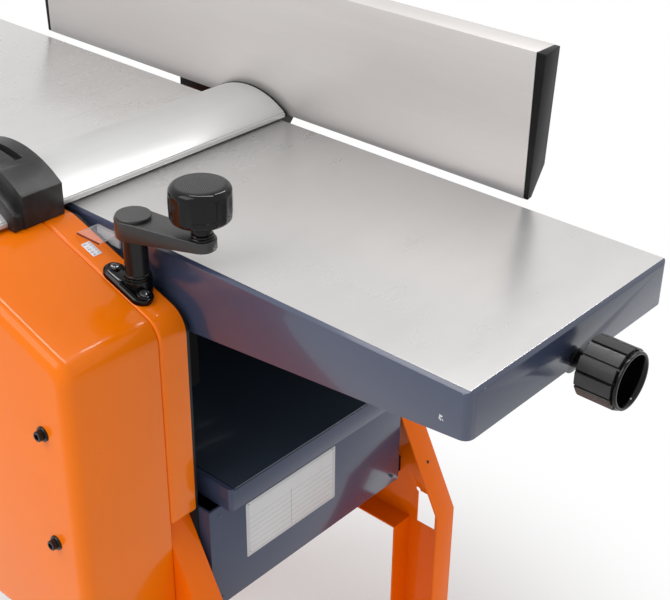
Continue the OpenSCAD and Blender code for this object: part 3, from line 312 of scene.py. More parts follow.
def rating_film(name):
    """A bare rating plate: pale film with a ruled, empty table and a grey edge."""
    f = Finish(name, IOR=1.5)
    y, z = f.axis("Y"), f.axis("Z")
    table = (z < (PLATE[2] + 16) * mm) * (z > (PLATE[2] - 29) * mm)
    row = ((z / (6.2 * mm)).fraction() < 0.07) * table
    column = (abs(y - (PLATE[1] - 1.5) * mm) < 0.4 * mm) * table
    inside = (abs(y - PLATE[1] * mm) < 60 * mm) * (abs(z - PLATE[2] * mm) < 29 * mm)
    ruled = (row + column).rise(0.2, 0.9) * inside
    edge = 1 - inside
    cloud = f.grain(0.03, 3.0)
    plain = f.between(cloud, srgb(206, 207, 209), srgb(226, 227, 228))
    f.feed("Base Color", f.between(ruled * 0.55 + edge * 0.18, plain, srgb(96, 98, 104)))
    f.feed("Roughness", 0.32 + cloud * 0.2)
    f.relief((f.grain(0.0012, 2.0), 0.000012))
    return f.material


def clear_sheet(name):
    """Clear acrylic with painted highlights on its bright edges and a red line along its front
    edge.
    """
    f = Finish(name, IOR=1.49)
    line = f.axis("Y") < POINTER_LINE_Y * mm
    face = abs(f.axis("Z", f.facing)) > 0.9
    cloud = f.grain(0.008, 2.0)
    f.feed("Base Color", f.between(line, srgb(236, 238, 242), srgb(96, 14, 16)))
    # painted highlight: the edges stay opaque pale white while the faces are nearly clear
    f.feed("Alpha", 0.5 - face * 0.42 + line * 0.5 + cloud * 0.06)
    f.feed("Roughness", 0.06 + cloud * 0.08)
    f.relief((cloud, 0.00001))
    return f.material


def make_finishes(looks):
    """Every material of the machine, by a short name."""
    orange, blue = looks.orange, looks.blue
    # painted light: the stand takes a brighter, redder copy of the orange, making up for less light
    # on its legs
    stand_painted_light_orange = tuple(min(1, c * k) for c, k in zip(orange, (1.07, 0.9, 1, 1)))
    return {
        "orange": paint("powder_coat_orange", tuple(orange), coat=0.35, sheen=0.1),
        "stand": paint("powder_coat_stand", stand_painted_light_orange, coat=0.3, sheen=0.06),
        "blue": paint("enamel_blue_grey", tuple(blue), coat=0.4, rough=0.22),
        "black": paint("satin_black_enamel", srgb(30, 30, 32), coat=0.1, rough=0.42, sheen=0.15),
        # painted shade: near black for the table brackets and runners, which lie in shade
        "shadow": paint("matte_black_enamel", srgb(14, 14, 16), coat=0.0, rough=0.7, sheen=0.04),
        "table": ground_table(tuple(blue), tuple(looks.ground)),
        "guard": brushed("anodised_guard", srgb(209, 209, 208), along="Y", rough=0.4, metallic=0.4),
        "fence": brushed("anodised_fence", srgb(212, 208, 206), along="X", rough=0.45,
                         metallic=0.5),
        "steel": turned("machined_steel", srgb(190, 192, 194)),
        "zinc": turned("zinc_plated", srgb(196, 198, 196), rough=0.34, pits=0.00002),
        "blackened": turned("blackened_steel", srgb(44, 44, 46), rough=0.3, metallic=0.7),
        "dark": turned("dark_steel", srgb(96, 96, 98), rough=0.2, metallic=0.8),
        "cast": paint("primed_casting", srgb(96, 98, 102), coat=0.0, rough=0.6, peel=0.0001),
        "brass": turned("turned_brass", srgb(198, 160, 88), rough=0.3),
        "plastic": moulded("grained_black_plastic", srgb(24, 24, 25), rough=0.4),
        "arm": moulded("matte_black_plastic", srgb(34, 34, 34), rough=0.34, grain=0.0005,
                       depth=0.00005, scuff=0.6, sheen=0.6),
        "gloss": moulded("gloss_black_plastic", srgb(8, 8, 9), rough=0.1, grain=0.002,
                         depth=0.000006, scuff=0.1, sheen=0.25),
        # painted highlight: the crown's ridges are a lighter grey than the knob, for light on its
        # top; their pale scuffs are wear
        "ridge": moulded("worn_ridges", srgb(84, 83, 84), rough=0.3, grain=0.0006, depth=0.00001,
                         scuff=0.4, sheen=0.2),
        "post": moulded("worn_gloss_tube", srgb(14, 14, 15), rough=0.2, grain=0.004, depth=0.000004,
                        scuff=0.4, sheen=0.3),
        # painted light: the ribs are a lighter grey than the knob's black body between them, for
        # light on the ribs and shade in the grooves; the pale scuffs are wear
        "grip": moulded("ribbed_grip_plastic", srgb(38, 37, 38), rough=0.24, grain=0.0009,
                        depth=0.00008, scuff=0.8, sheen=0.4),
        "holder": moulded("guard_holder_plastic", srgb(40, 39, 40), rough=0.34, grain=0.0008,
                          depth=0.00005, scuff=0.9, sheen=0.25),
        "rubber": moulded("black_rubber", srgb(28, 28, 28), rough=0.72, grain=0.0012,
                          depth=0.00005),
        "roller": moulded("grey_rubber", srgb(66, 64, 62), rough=0.66, grain=0.001, depth=0.00004),
        "bed": paint("bed_sheet_black", srgb(54, 64, 78), coat=0.5, rough=0.2, peel=0.000008,
                     sheen=0.5),
        "plate": rating_film("rating_plate_film"),
        "white": moulded("white_film", srgb(222, 225, 232), rough=0.4, grain=0.001, depth=0.000005,
                         scuff=0.2),
        "ink": moulded("printed_ink", srgb(24, 25, 32), rough=0.5, grain=0.001, depth=0.000003,
                       scuff=0.1),
        "clear": clear_sheet("clear_pointer"),
        "green": moulded("green_plastic", srgb(40, 150, 66), rough=0.3, grain=0.001, depth=0.00001,
                         scuff=0.1, sheen=0.4),
        "red": moulded("red_plastic", srgb(196, 34, 28), rough=0.3, grain=0.001, depth=0.00001,
                       scuff=0.1, sheen=0.4),
    }


# Meshes


def point(x, y, z):
    """A place in millimetres as a vector in metres."""
    return Vector((x * mm, y * mm, z * mm))


def shift(x, y, z):
    """A move in millimetres."""
    return Matrix.Translation(point(x, y, z))


def mesh_of(name, bm):
    """A bmesh written to a new mesh."""
    mesh = bpy.data.meshes.new(name)
    bm.to_mesh(mesh)
    bm.free()
    return mesh


def linked(name, data):
    """A new object in the scene."""
    made = bpy.data.objects.new(name, data)
    bpy.context.scene.collection.objects.link(made)
    return made


def corner_arc(before, at, after, radius, steps):
    """Points of the arc that rounds one corner of an outline."""
    before, at, after = Vector(before), Vector(at), Vector(after)
    a, b = (before - at).normalized(), (after - at).normalized()
    half = a.angle(b) / 2
    middle = at + (a + b).normalized() * radius / math.sin(half)
    start, end = at + a * radius / math.tan(half), at + b * radius / math.tan(half)
    first = math.atan2(start.y - middle.y, start.x - middle.x)
    turn = math.atan2(end.y - middle.y, end.x - middle.x) - first
    turn = (turn + math.pi) % math.tau - math.pi
    return [middle + radius * Vector((math.cos(first + turn * i / steps),
                                      math.sin(first + turn * i / steps)))
            for i in range(steps + 1)]


def rounded(points, steps):
    """An outline through (x, y, radius) points with its corners rounded."""
    count = len(points)
    made = []
    for i, (x, y, radius) in enumerate(points):
        if radius > 0:
            made += corner_arc(points[i - 1][:2], (x, y), points[(i + 1) % count][:2], radius,
                               steps)
        else:
            made.append(Vector((x, y)))
    return made


def loft(bm, rings, first_cap=True, last_cap=True):
    """A skin over rings of points that all have the same count."""
    rows = [[bm.verts.new(p) for p in ring] for ring in rings]
    count = len(rows[0])
    for a, b in zip(rows, rows[1:]):
        for i in range(count):
            j = (i + 1) % count
            bm.faces.new((a[i], a[j], b[j], b[i]))
    if first_cap:
        bm.faces.new(rows[0][::-1])
    if last_cap:
        bm.faces.new(rows[-1])
    return rows


def ring(reach, z, steps):
    """Points round Z, at a radius that can be a function of the turn."""
    made = []
    for i in range(steps):
        turn = math.tau * i / steps
        r = reach(turn) if callable(reach) else reach
        made.append(point(r * math.cos(turn), r * math.sin(turn), z))
    return made


def lathe(bm, profile, steps=48, place=Matrix(), swell=None):
    """A profile of (radius, height) in millimetres turned about the place's own Z."""
    rings = []
    for radius, height in profile:
        def reach(turn):
            return radius + (swell(turn, radius, height) if swell else 0)
        rings.append([place @ p for p in ring(reach, height, steps)])
    loft(bm, rings, False, False)


def arc(cx, cy, radius, start, end, steps):
    """Points of an arc between two angles in degrees."""
    return [(cx + radius * math.cos(math.radians(start + (end - start) * i / steps)),
             cy + radius * math.sin(math.radians(start + (end - start) * i / steps)))
            for i in range(steps + 1)]


def tidy(bm):
    """Merges doubles, drops empty faces and turns every face outward."""
    bmesh.ops.remove_doubles(bm, verts=bm.verts, dist=2e-6)
    bmesh.ops.dissolve_degenerate(bm, edges=bm.edges, dist=1e-6)
    bmesh.ops.recalc_face_normals(bm, faces=bm.faces)


def skinned(rings):
    """A closed solid over rings of points."""
    bm = bmesh.new()
    loft(bm, rings)
    tidy(bm)
    return bm


def lathed(profile, steps=48, place=Matrix(), swell=None):
    """A solid of revolution from a profile that starts and ends at the same radius."""
    bm = bmesh.new()
    lathe(bm, profile, steps, place, swell)
    tidy(bm)
    return bm


def add_piece(name, source, finish, body, replaced=(), sharp=32):
    """Makes a mesh into a piece that rides on a body and takes a material."""
    mesh = mesh_of(name, source) if isinstance(source, bmesh.types.BMesh) else source
    mesh.name = name
    mesh.materials.clear()
    mesh.materials.append(finishes[finish])
    mesh.shade_smooth()
    mesh.set_sharp_from_angle(angle=math.radians(sharp))
    piece = linked(name, mesh)
    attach(piece, body)
    if replaced:
        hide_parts(*replaced)
    return piece


def softened(node, width, finish):
    """A copy of a solid with its sharp edges eased, in place of the solid."""
    bm = bmesh.new()
    bm.from_mesh(nodes[node].data)
    bmesh.ops.remove_doubles(bm, verts=bm.verts, dist=1e-5)
    bmesh.ops.dissolve_limit(bm, angle_limit=math.radians(0.6), verts=bm.verts, edges=bm.edges)
    sharp = [e for e in bm.edges
             if len(e.link_faces) == 2 and e.calc_face_angle(0) > math.radians(35)]
    bmesh.ops.bevel(bm, geom=sharp, offset=width * mm, offset_type="OFFSET", segments=2,
                    profile=0.5, affect="EDGES", clamp_overlap=True)
    bmesh.ops.triangulate(bm, faces=[f for f in bm.faces if len(f.verts) > 4])
    return add_piece(node + "_eased", bm, finish, body_of_node[node],
                     (node,), sharp=28)


def on_shoulder(x, y):
    """A place on the housing's sloping shoulder, with its Z square to the slope."""
    down = HOUSING_TOP + (x - SHOULDER_HALF) * math.tan(SHOULDER_ANGLE)
    return shift(x, y, TABLE_Z - down) @ Matrix.Rotation(SHOULDER_ANGLE, 4, "Y")


def on_crank():
    """The foot of the crank's arm, with X along the arm."""
    return shift(*CRANK, TABLE_Z) @ Matrix.Rotation(CRANK_TURN, 4, "Z")


def cover_outline(inset, bottom, narrower=0.0):
    """The housings' outline in X and Z, drawn in by an inset."""
    slope = math.tan(SHOULDER_ANGLE)
    drop = inset / math.cos(SHOULDER_ANGLE)
    top_x = SHOULDER_HALF + (inset - drop) / slope
    side_x = HOUSING_HALF - narrower - inset
    side_d = HOUSING_TOP + (side_x - SHOULDER_HALF) * slope + drop
    scale = 1 - inset / 25
    low = TABLE_Z - bottom + inset
    half = [(-side_x, low, 6 * scale), (-side_x, TABLE_Z - side_d, 25 * scale),
            (-top_x, TABLE_Z - HOUSING_TOP - inset, 30 * scale)]
    return rounded(half + [(-x, z, r) for x, z, r in half[::-1]], 10)


# Copies set out by Geometry Nodes


def copies_tree(name, extra, arrange):
    """A Geometry Nodes tree that sets out copies of a shape and ends in one painted mesh."""
    tree = bpy.data.node_groups.new(name, "GeometryNodeTree")
    inputs = {"Geometry": "Geometry", "Shape": "Object", "Finish": "Material", **extra}
    for label, kind in inputs.items():
        tree.interface.new_socket(name=label, in_out="INPUT", socket_type="NodeSocket" + kind)
    tree.interface.new_socket(name="Geometry", in_out="OUTPUT", socket_type="NodeSocketGeometry")
    graph = Graph(tree)
    source = tree.nodes.new("NodeGroupInput")
    given = {s.name: Socket(graph, s) for s in source.outputs if s.name}
    points, rotation = arrange(graph, given)
    shape = graph.add("GeometryNodeObjectInfo", None, given["Shape"], output="Geometry")
    made = graph.add("GeometryNodeInstanceOnPoints", None, points, Instance=shape,
                     Rotation=rotation)
    made = graph.add("GeometryNodeRealizeInstances", None, made)
    made = graph.add("GeometryNodeSetMaterial", None, made, Material=given["Finish"])
    graph.plug(made, tree.nodes.new("NodeGroupOutput").inputs[0])
    return tree


def run_tree(tree, base, pattern, finish, **values):
    """The plain mesh that a tree makes from a base mesh and copies of a pattern."""
    values.update(Shape=patterns[pattern], Finish=finishes[finish])
    holder = linked("working", base)
    modifier = holder.modifiers.new("tree", "NODES")
    modifier.node_group = trees[tree]
    for item in trees[tree].interface.items_tree:
        if item.in_out == "INPUT" and item.name in values:
            modifier[item.identifier] = values[item.name]
    graph = bpy.context.evaluated_depsgraph_get()
    mesh = bpy.data.meshes.new_from_object(holder.evaluated_get(graph))
    bpy.data.objects.remove(holder)
    return mesh


def add_pattern(name, bm):
    """A pattern piece that the trees copy. It is removed when they are done."""
    patterns[name] = linked(name, mesh_of(name, bm))


def on_points(graph, given):
    """One copy on each point, facing along it and turned at random."""
    facing = graph.add("GeometryNodeInputNamedAttribute", {"data_type": "FLOAT_VECTOR"}, "facing")
    aim = graph.add("FunctionNodeAlignRotationToVector", {"axis": "Z"}, None, None, facing)
    spin = graph.add("FunctionNodeRandomValue", {"data_type": "FLOAT"}, Seed=given["Seed"],
                     Max=6.28, output=1)
    turn = graph.add("FunctionNodeAxisAngleToRotation", None, (0, 0, 1), spin)
    both = graph.add("FunctionNodeRotateRotation", {"rotation_space": "LOCAL"}, aim, turn)
    return given["Geometry"], both


def round_axis(graph, given):
    """A number of copies evenly round Z."""
    points = graph.add("GeometryNodePoints", None, given["Count"], (0, 0, 0))
    turn = graph.add("GeometryNodeInputIndex") * math.tau / given["Count"]
    return points, graph.add("FunctionNodeAxisAngleToRotation", None, (0, 0, 1), turn)


def along_loop(graph, given):
    """A number of copies evenly along a loop of edges."""
    path = graph.add("GeometryNodeMeshToCurve", None, given["Geometry"])
    even = graph.add("GeometryNodeResampleCurve", None, path, Count=given["Count"])
    along = graph.add("GeometryNodeInputTangent")
    turn = graph.add("FunctionNodeAxesToRotation",
                     {"primary_axis": "X", "secondary_axis": "Z"}, along, given["Across"])
    return even, turn


def make_trees():
    """The three trees that set out copies, by a short name."""
    return {
        "fasteners": copies_tree("fasteners", {"Seed": "Int"}, on_points),
        "ring": copies_tree("ring_of_copies", {"Count": "Int"}, round_axis),
        "chain": copies_tree("chain_links", {"Count": "Int", "Across": "Vector"}, along_loop),
    }


def fasten(name, pattern, spots, finish, slot, replaced=()):
    """Copies of a fastener at (place, direction) spots, as one piece."""
    base = bpy.data.meshes.new(name)
    base.from_pydata([point(*place) for place, _ in spots], [], [])
    facing = base.attributes.new("facing", "FLOAT_VECTOR", "POINT")
    for i, (_, direction) in enumerate(spots):
        facing.data[i].vector = direction
    made = run_tree("fasteners", base, pattern, finish, Seed=1)
    return add_piece(name, made, finish, "machine", replaced)


# Fastener patterns, standing on their own XY plane


def hex_head(width, height, washer, wall):
    """A hexagon head on a washer."""
    bm = bmesh.new()
    lathe(bm, [(0, 0), (washer, 0), (washer, wall * 0.8), (washer - 0.3, wall), (0, wall)], 32)
    flat = width / 2 / math.cos(math.pi / 6)
    loft(bm, [ring(radius, wall + z, 6)
              for radius, z in ((flat, 0), (flat, height - 0.6), (flat - 0.9, height))])
    tidy(bm)
    return bm


def socket_head(radius, height, hexagon, depth, flange=0.0, flange_t=0.0):
    """A cap head with a hexagon socket, with or without a flange."""
    outer = []
    if flange:
        outer = [(flange, 0), (flange, flange_t * 0.6), (flange - 0.6, flange_t)]
    outer += [(radius, flange_t), (radius, height - 0.7), (radius - 0.7, height)]

    def socket(turn):
        return hexagon / 2 / math.cos((turn + math.pi / 6) % (math.pi / 3) - math.pi / 6)
    inner = [(socket, height), (socket, height - depth)]
    return skinned([ring(reach, z, 36) for reach, z in outer + inner])


def cross_head(radius, height, depth):
    """A pan head with a cross recess."""
    def cross(share):
        def reach(turn):
            near = abs((turn + math.pi / 4) % (math.pi / 2) - math.pi / 4)
            return radius * share * (0.5 if near < 0.24 else 0.17)
        return reach
    rows = [(radius, 0), (radius, height * 0.45), (radius * 0.86, height * 0.85),
            (radius * 0.66, height), (cross(1), height), (cross(0.925), height - depth)]
    return skinned([ring(reach, z, 48) for reach, z in rows])


def countersunk(radius):
    """The face of a countersunk screw with a round recess, just under the surface."""
    return lathed([(0, -2.6), (1.6, -2.4), (1.9, -0.55), (radius - 0.5, -0.35), (radius, 0.06),
                   (radius + 0.5, 0.06), (radius + 0.5, -1.0), (0, -3.0)], 40)


def dome(radius, height):
    """A rivet's head."""
    return lathed([(0, 0), (radius, 0)]
                  + [(radius * math.cos(t * math.pi / 12), height * math.sin(t * math.pi / 12))
                     for t in range(1, 7)], 24)


def make_patterns():
    """The fasteners that the trees copy."""
    shapes = {
        "socket": socket_head(radius=4.8, height=7, hexagon=5.2, depth=4.2, flange=7, flange_t=2),
        "small_socket": socket_head(radius=3.2, height=3.4, hexagon=3, depth=2),
        "cross": cross_head(radius=4.1, height=2.6, depth=1.4),
        "flat": countersunk(radius=5),
        "hexagon": hex_head(width=13, height=5.4, washer=9, wall=1.6),
        "small_hex": hex_head(width=8, height=3.6, washer=6, wall=1.1),
        "rivet": dome(radius=1.9, height=0.9),
    }
    for name, shape in shapes.items():
        add_pattern(name, shape)


# Settings


class PlanerLooks(bpy.types.PropertyGroup):
    """Colours of the machine."""

    orange: FloatVectorProperty(
        name="Orange", description="Powder coat of the housings and the stand",
        subtype="COLOR", size=4, min=0, max=1, default=srgb(247, 120, 2))
    blue: FloatVectorProperty(
        name="Blue", description="Enamel of the tables, the bed's rim and the lower box",
        subtype="COLOR", size=4, min=0, max=1, default=srgb(62, 70, 94))
    ground: FloatVectorProperty(
        name="Ground metal", description="Ground faces of the tables",
        subtype="COLOR", size=4, min=0, max=1, default=srgb(213, 211, 210))


class PlanerSizes(bpy.types.PropertyGroup):
    """Sizes of the details."""

    edge: FloatProperty(
        name="Edge", description="Easing of folded and cast edges, in millimetres",
        default=1.0, min=0.2, max=2.5)
    cover_radius: FloatProperty(
        name="Cover radius", description="Rounding of the drive cover, in millimetres",
        default=13.0, min=6, max=18)
    knob_ribs: IntProperty(
        name="Knob ribs", description="Ribs round the depth knob", default=12, min=6, max=16)


class PlanerStage(bpy.types.PropertyGroup):
    """Light round the machine."""

    world: FloatProperty(
        name="World light", description="Strength of the even light", default=0.73, min=0, max=3)
    key: FloatProperty(
        name="Key light", description="Power of the large lamp, in watts", default=54, min=0,
        max=400)
    edge: FloatProperty(
        name="Edge lights", description="Power of the strip lamps, in watts per square metre",
        default=60, min=0, max=400)


# Pieces


class PLANER_OT_frame(bpy.types.Operator):
    """Gives every solid its finish and eases the edges of the sheet and cast parts."""

    bl_idname = "planer.frame"
    bl_label = "Frame finishes"

    def execute(self, context):
        looks = context.scene.planer_looks
        edge = context.scene.planer_sizes.edge
        finishes.update(make_finishes(looks))
        trees.update(make_trees())
        make_patterns()
        plain = {
            "black": "side_plate_front side_plate_rear head_bars cutter_bearings "
                     "column_sleeve block_pulley motor_rotor stand_rails",
            # painted shade: the table brackets and runners are near black where they lie in shade
            "shadow": "table_brackets table_runners",
            "cast": "bearing_blocks",
            "steel": "cutterblock cutter_knives gib_bars bed_column kickback_fingers "
                     "infeed_roller",
            "zinc": "hood_hinge fence_slide_plate",
            "roller": "outfeed_roller",
            "brass": "depth_nut lift_nut",
            "rubber": "drive_belt stand_feet",
            "plastic": "cable_gland guard_lock_knob fence_lock_lever",
            "clear": "depth_pointer",
            "green": "on_button",
            "red": "off_button",
        }
        for finish, members in plain.items():
            for node in members.split():
                mesh = nodes[node].data
                mesh.materials.clear()
                mesh.materials.append(finishes[finish])
        eased = [
            ("infeed_table", 0.5, "table"), ("outfeed_table", 0.5, "table"),
            ("side_housing_rear", 0.9, "orange"),
            ("stand_frame_front", 0.9, "stand"), ("stand_frame_rear", 0.9, "stand"),
            ("base_box", edge, "blue"), ("bed_frame", edge, "blue"), ("bed_top", 0.6, "bed"),
            ("fence", 0.5, "fence"), ("fence_caps", 0.8, "plastic"),
            ("guard_bridge", 0.3, "guard"), ("guard_holder", 1.0, "holder"),
            ("extraction_hood", 0.8, "plastic"), ("switch_box", 2.0, "plastic"),
            ("fence_base", 0.8, "black"), ("motor", 0.8, "black"),
        ]
        for node, width, finish in eased:
            softened(node, width, finish)
        return {"FINISHED"}


class PLANER_OT_housings(bpy.types.Operator):
    """Adds the pressed side housing and the rounded drive cover."""

    bl_idname = "planer.housings"
    bl_label = "Housings and drive cover"

    def execute(self, context):
        self.add_pan()
        self.add_cover(context.scene.planer_sizes.cover_radius)
        return {"FINISHED"}

    def shell(self, rows, outline):
        """A closed shell through an outline at (depth, inset) rows."""
        return skinned([[point(p.x, -y, p.y) for p in outline(inset)] for y, inset in rows])

    def add_pan(self):
        """A pressed pan with a rolled rim, an eased outer edge and an inner skin."""
        sheet, bend = 2, 3.2
        outer = [(WEB_OUT - bend + bend * math.sin(t), bend * (1 - math.cos(t)))
                 for t in (i * math.pi / 14 for i in range(8))]
        inner = [(y - sheet, i + sheet) for y, i in
                 ((WEB_OUT - bend + bend * 0.6 * math.sin(t), bend * 0.6 * (1 - math.cos(t)))
                  for t in (i * math.pi / 8 for i in range(4, -1, -1)))]
        rim = [(PLATE_OUT + 1.6, sheet + 0.1), (PLATE_OUT + 0.3, sheet - 0.2),
               (PLATE_OUT, sheet / 2), (PLATE_OUT + 0.3, 0.25), (PLATE_OUT + 1.1, 0)]
        pan = self.shell(inner + rim + outer, lambda inset: cover_outline(inset, PAN_BOTTOM))
        add_piece("side_housing_pressing", pan, "orange", "machine",
                  ("side_housing_front",))

    def add_cover(self, radius):
        """A moulded cover with drawn-in sides and generous front edges."""
        wall, draft, flat = 3, 1.5, COVER_FRONT - radius
        quarter = [i * math.pi / 18 for i in range(10)]
        outer = [(COVER_BACK + back, inset)
                 for back, inset in ((0, 1.4), (0.15, 0.7), (0.55, 0.2), (1.25, 0.0))]
        outer += [(flat + radius * math.sin(t), draft + radius * (1 - math.cos(t)))
                  for t in quarter]
        inner = [(flat - wall + radius * math.sin(t), draft + wall + radius * (1 - math.cos(t)))
                 for t in quarter[::-1]]
        cover = self.shell(inner + [(COVER_BACK, wall)] + outer,
                           lambda inset: cover_outline(inset, COVER_BOTTOM, 1.4))
        add_piece("drive_cover_shell", cover, "orange", "machine", ("side_cover",))


class PLANER_OT_crank(bpy.types.Operator):
    """Adds the crank's flange, post, arm and knob."""

    bl_idname = "planer.crank"
    bl_label = "Crank"

    def execute(self, context):
        self.add_flange()
        self.add_arm()
        self.add_knob()
        return {"FINISHED"}

    def add_flange(self):
        """An oblong flange with eased edges, ringed screw seats and a collared boss."""
        half, r, thick = 17.5, 10.5, 6
        place = on_shoulder(*FLANGE)

        def stadium(radius, z):
            return [place @ point(px + half, py, z) for px, py in arc(0, 0, radius, -90, 90, 12)] \
                + [place @ point(px - half, py, z) for px, py in arc(0, 0, radius, 90, 270, 12)]
        bm = bmesh.new()
        loft(bm, [stadium(a, b) for a, b in (
            (r, 0.0), (r, thick - 2.4), (r - 0.5, thick - 1.7), (r - 1.3, thick - 1.2),
            (r - 1.9, thick - 1.2), (r - 2.3, thick - 1.0), (r - 2.4, thick - 0.2),
            (r - 2.8, thick))])
        for side in (-1, 1):
            seat = place @ shift(FLANGE_SCREW * side, 0, thick - 0.4)
            lathe(bm, [(0, 0.2), (4.6, 0.2), (4.9, 0.9), (5.4, 1.2), (5.9, 0.9), (6.3, 0), (0, 0)],
                  36, seat)
        add_piece("crank_flange_plate", bm, "gloss", "machine", ("crank_flange",))
        place = shift(*CRANK, TABLE_Z)
        boss = lathed([(8.3, -44), (12.6, -44), (12.6, -25.2), (12.2, -24.6), (11.4, -24.4),
                       (11.3, -23.6), (12.1, -23.3), (12.3, -22.6), (11.9, -22), (8.3, -22),
                       (8.3, -44)], 64, place)
        add_piece("crank_flange_boss", boss, "gloss", "machine")
        post = lathed([(0, -400), (8, -400), (8, -21.8), (11.2, -21.7), (11.6, -21.2),
                       (11.6, -19.8), (11.2, -19.3), (10.6, -19.1), (10.5, -18.6), (10.5, 16.2),
                       (0, 16.2)], 64, place)
        add_piece("crank_post", post, "post", "crank", ("crank_shaft",))
        sprocket = lathed([(0, -394), (13, -394), (13, -388), (0, -388)], 144, place,
                          lambda turn, radius, height: 0.7 * math.cos(12 * turn) if radius else 0)
        add_piece("crank_sprocket", sprocket, "steel", "crank")

    def add_arm(self):
        """An arm that slopes from its hub to its end, with a cap disc and a stepped collar."""
        hub_r, end_r = 16.5, 12.5
        low, hub_top, end_top = 16.2, 33.8, 26.2
        pin_r, pin_top = 5, 65.6
        bend = math.degrees(math.acos((hub_r - end_r) / CRANK_THROW))
        n_hub, n_end = 29, 21
        place = on_crank()

        def outline(inset, hub_z, end_z):
            hub = arc(0, 0, hub_r - inset, bend, 360 - bend, n_hub - 1)
            end = arc(CRANK_THROW, 0, end_r - inset, -bend, bend, n_end - 1)
            return [place @ point(x, y, hub_z) for x, y in hub] \
                + [place @ point(x, y, end_z) for x, y in end]
        rows = [(0.9, low, low), (0.3, low + 0.25, low + 0.25), (0, low + 0.9, low + 0.9)]
        for inset, drop in ((0, 1.3), (0.2, 0.65), (0.6, 0.2), (1.3, 0)):
            rows.append((inset, hub_top - drop, end_top - drop))
        bm = bmesh.new()
        top = loft(bm, [outline(*row) for row in rows], True, False)[-1]
        bm.faces.new(top[:n_hub])
        bm.faces.new(top[n_hub:])
        bm.faces.new((top[n_hub - 1], top[n_hub], top[-1], top[0]))
        tidy(bm)
        add_piece("crank_arm_moulding", bm, "arm", "crank", ("crank_arm",))
        cap = lathed([(0, hub_top - 1), (15.1, hub_top - 1), (15.1, hub_top + 0.25),
                      (15.35, hub_top + 0.4), (15.35, hub_top + 1.5), (14.9, hub_top + 1.95),
                      (0, hub_top + 2.05)], 64, place)
        add_piece("crank_cap", cap, "arm", "crank")
        collar = lathed([(0, end_top - 1), (10.9, end_top - 1), (10.9, end_top + 1.6),
                         (10.5, end_top + 2.1), (9.9, end_top + 2.3), (9.8, end_top + 3.9),
                         (9.4, end_top + 4.4), (pin_r, end_top + 4.4), (pin_r, pin_top),
                         (0, pin_top)], 64, place @ shift(CRANK_THROW, 0, 0))
        add_piece("crank_pin_collar", collar, "gloss", "crank")

    def add_knob(self):
        """A knob with a fluted side and fine ridges over its crown."""
        place = on_crank() @ shift(CRANK_THROW, 0, 0)
        flute_low, flute_top, crown = 43.6, 69, 74.58
        outside = [(5.05, 31), (8.5, 31), (8.9, 31.3), (9, 31.8), (9, 35.2), (8.7, 35.6),
                   (8.7, 36.2), (9, 36.6), (9, 42.2), (9.5, 43.1), (10.4, 43.5), (23.4, 43.5),
                   (24.6, 43.8), (25.5, 44.6), (26.1, 46), (26.4, 48), (26.5, 50.4), (26.2, 50.6),
                   (26.2, 51), (26.5, 51.2), (26.6, 54), (26.7, 57), (26.7, 61), (26.6, 64.4),
                   (26.4, 68)]
        outside += [(x, z) for x, z in arc(20.2, 68.4, 6.15, 8, 88, 9)]
        outside += [(17, crown - 0.02), (12, crown - 0.01), (6, crown), (0, crown + 0.02)]
        inside = [(0, 65.9), (5.05, 65.9), (5.05, 31)]

        def flutes(turn, radius, height):
            if radius < 22.5 or not flute_low < height < flute_top:
                return 0
            fade = min(1, (height - flute_low) / 3, (flute_top - height) / 3)
            return -0.7 * fade * (0.5 + 0.5 * math.cos(16 * turn)) ** 0.6
        grip = lathed(outside + inside, 192, place, flutes)
        add_piece("crank_knob_grip", grip, "gloss", "knob", ("crank_knob",),
                  sharp=40)
        bm = bmesh.new()
        pitch, rim = 1.5, 20.4
        count = int(rim / pitch)
        lean = Matrix.Rotation(math.radians(38), 4, "Z")
        for i in range(-count, count + 1):
            u = i * pitch
            half = math.sqrt(max(0, rim * rim - u * u))
            if half < 2:
                continue
            rows = []
            for k in range(9):
                v = -half + 2 * half * k / 8
                z = crown - 0.16 * (u * u + v * v) / rim ** 2
                lift = 0.0 if k in (0, 8) else 0.24
                rows.append([place @ lean @ point(a, v, b) for a, b in (
                    (u - 0.44, z - 0.25), (u + 0.44, z - 0.25), (u + 0.24, z + lift),
                    (u - 0.24, z + lift))])
            loft(bm, rows)
        tidy(bm)
        add_piece("crank_knob_ridges", bm, "ridge", "knob")


class PLANER_OT_guard_end(bpy.types.Operator):
    """Adds a black rubber cap on the end of the bridge guard that meets the fence; its black also
    stands in for the shade in the gap before the fence.
    """

    bl_idname = "planer.guard_end"
    bl_label = "Guard end cap"

    def execute(self, context):
        radius, half, top = 90.3, 52.4, 24.4
        reach = math.degrees(math.asin(half / radius))
        crown = arc(0, top - radius, radius, 90 + reach, 90 - reach, 24)
        side, middle = 54, 13
        outline = [(-side, 2), (-side, 6.6), (0.4 - side, 7)] + crown
        outline += [(side - 0.4, 7), (side, 6.6), (side, 2)]
        cap = skinned([[point(x * k, y, TABLE_Z + middle + (z - middle) * k) for x, z in outline]
                       for y, k in ((142, 0.99), (142.1, 1), (143.9, 1), (144.3, 0.985))])
        add_piece("guard_end_cap", cap, "rubber", "guard")
        return {"FINISHED"}


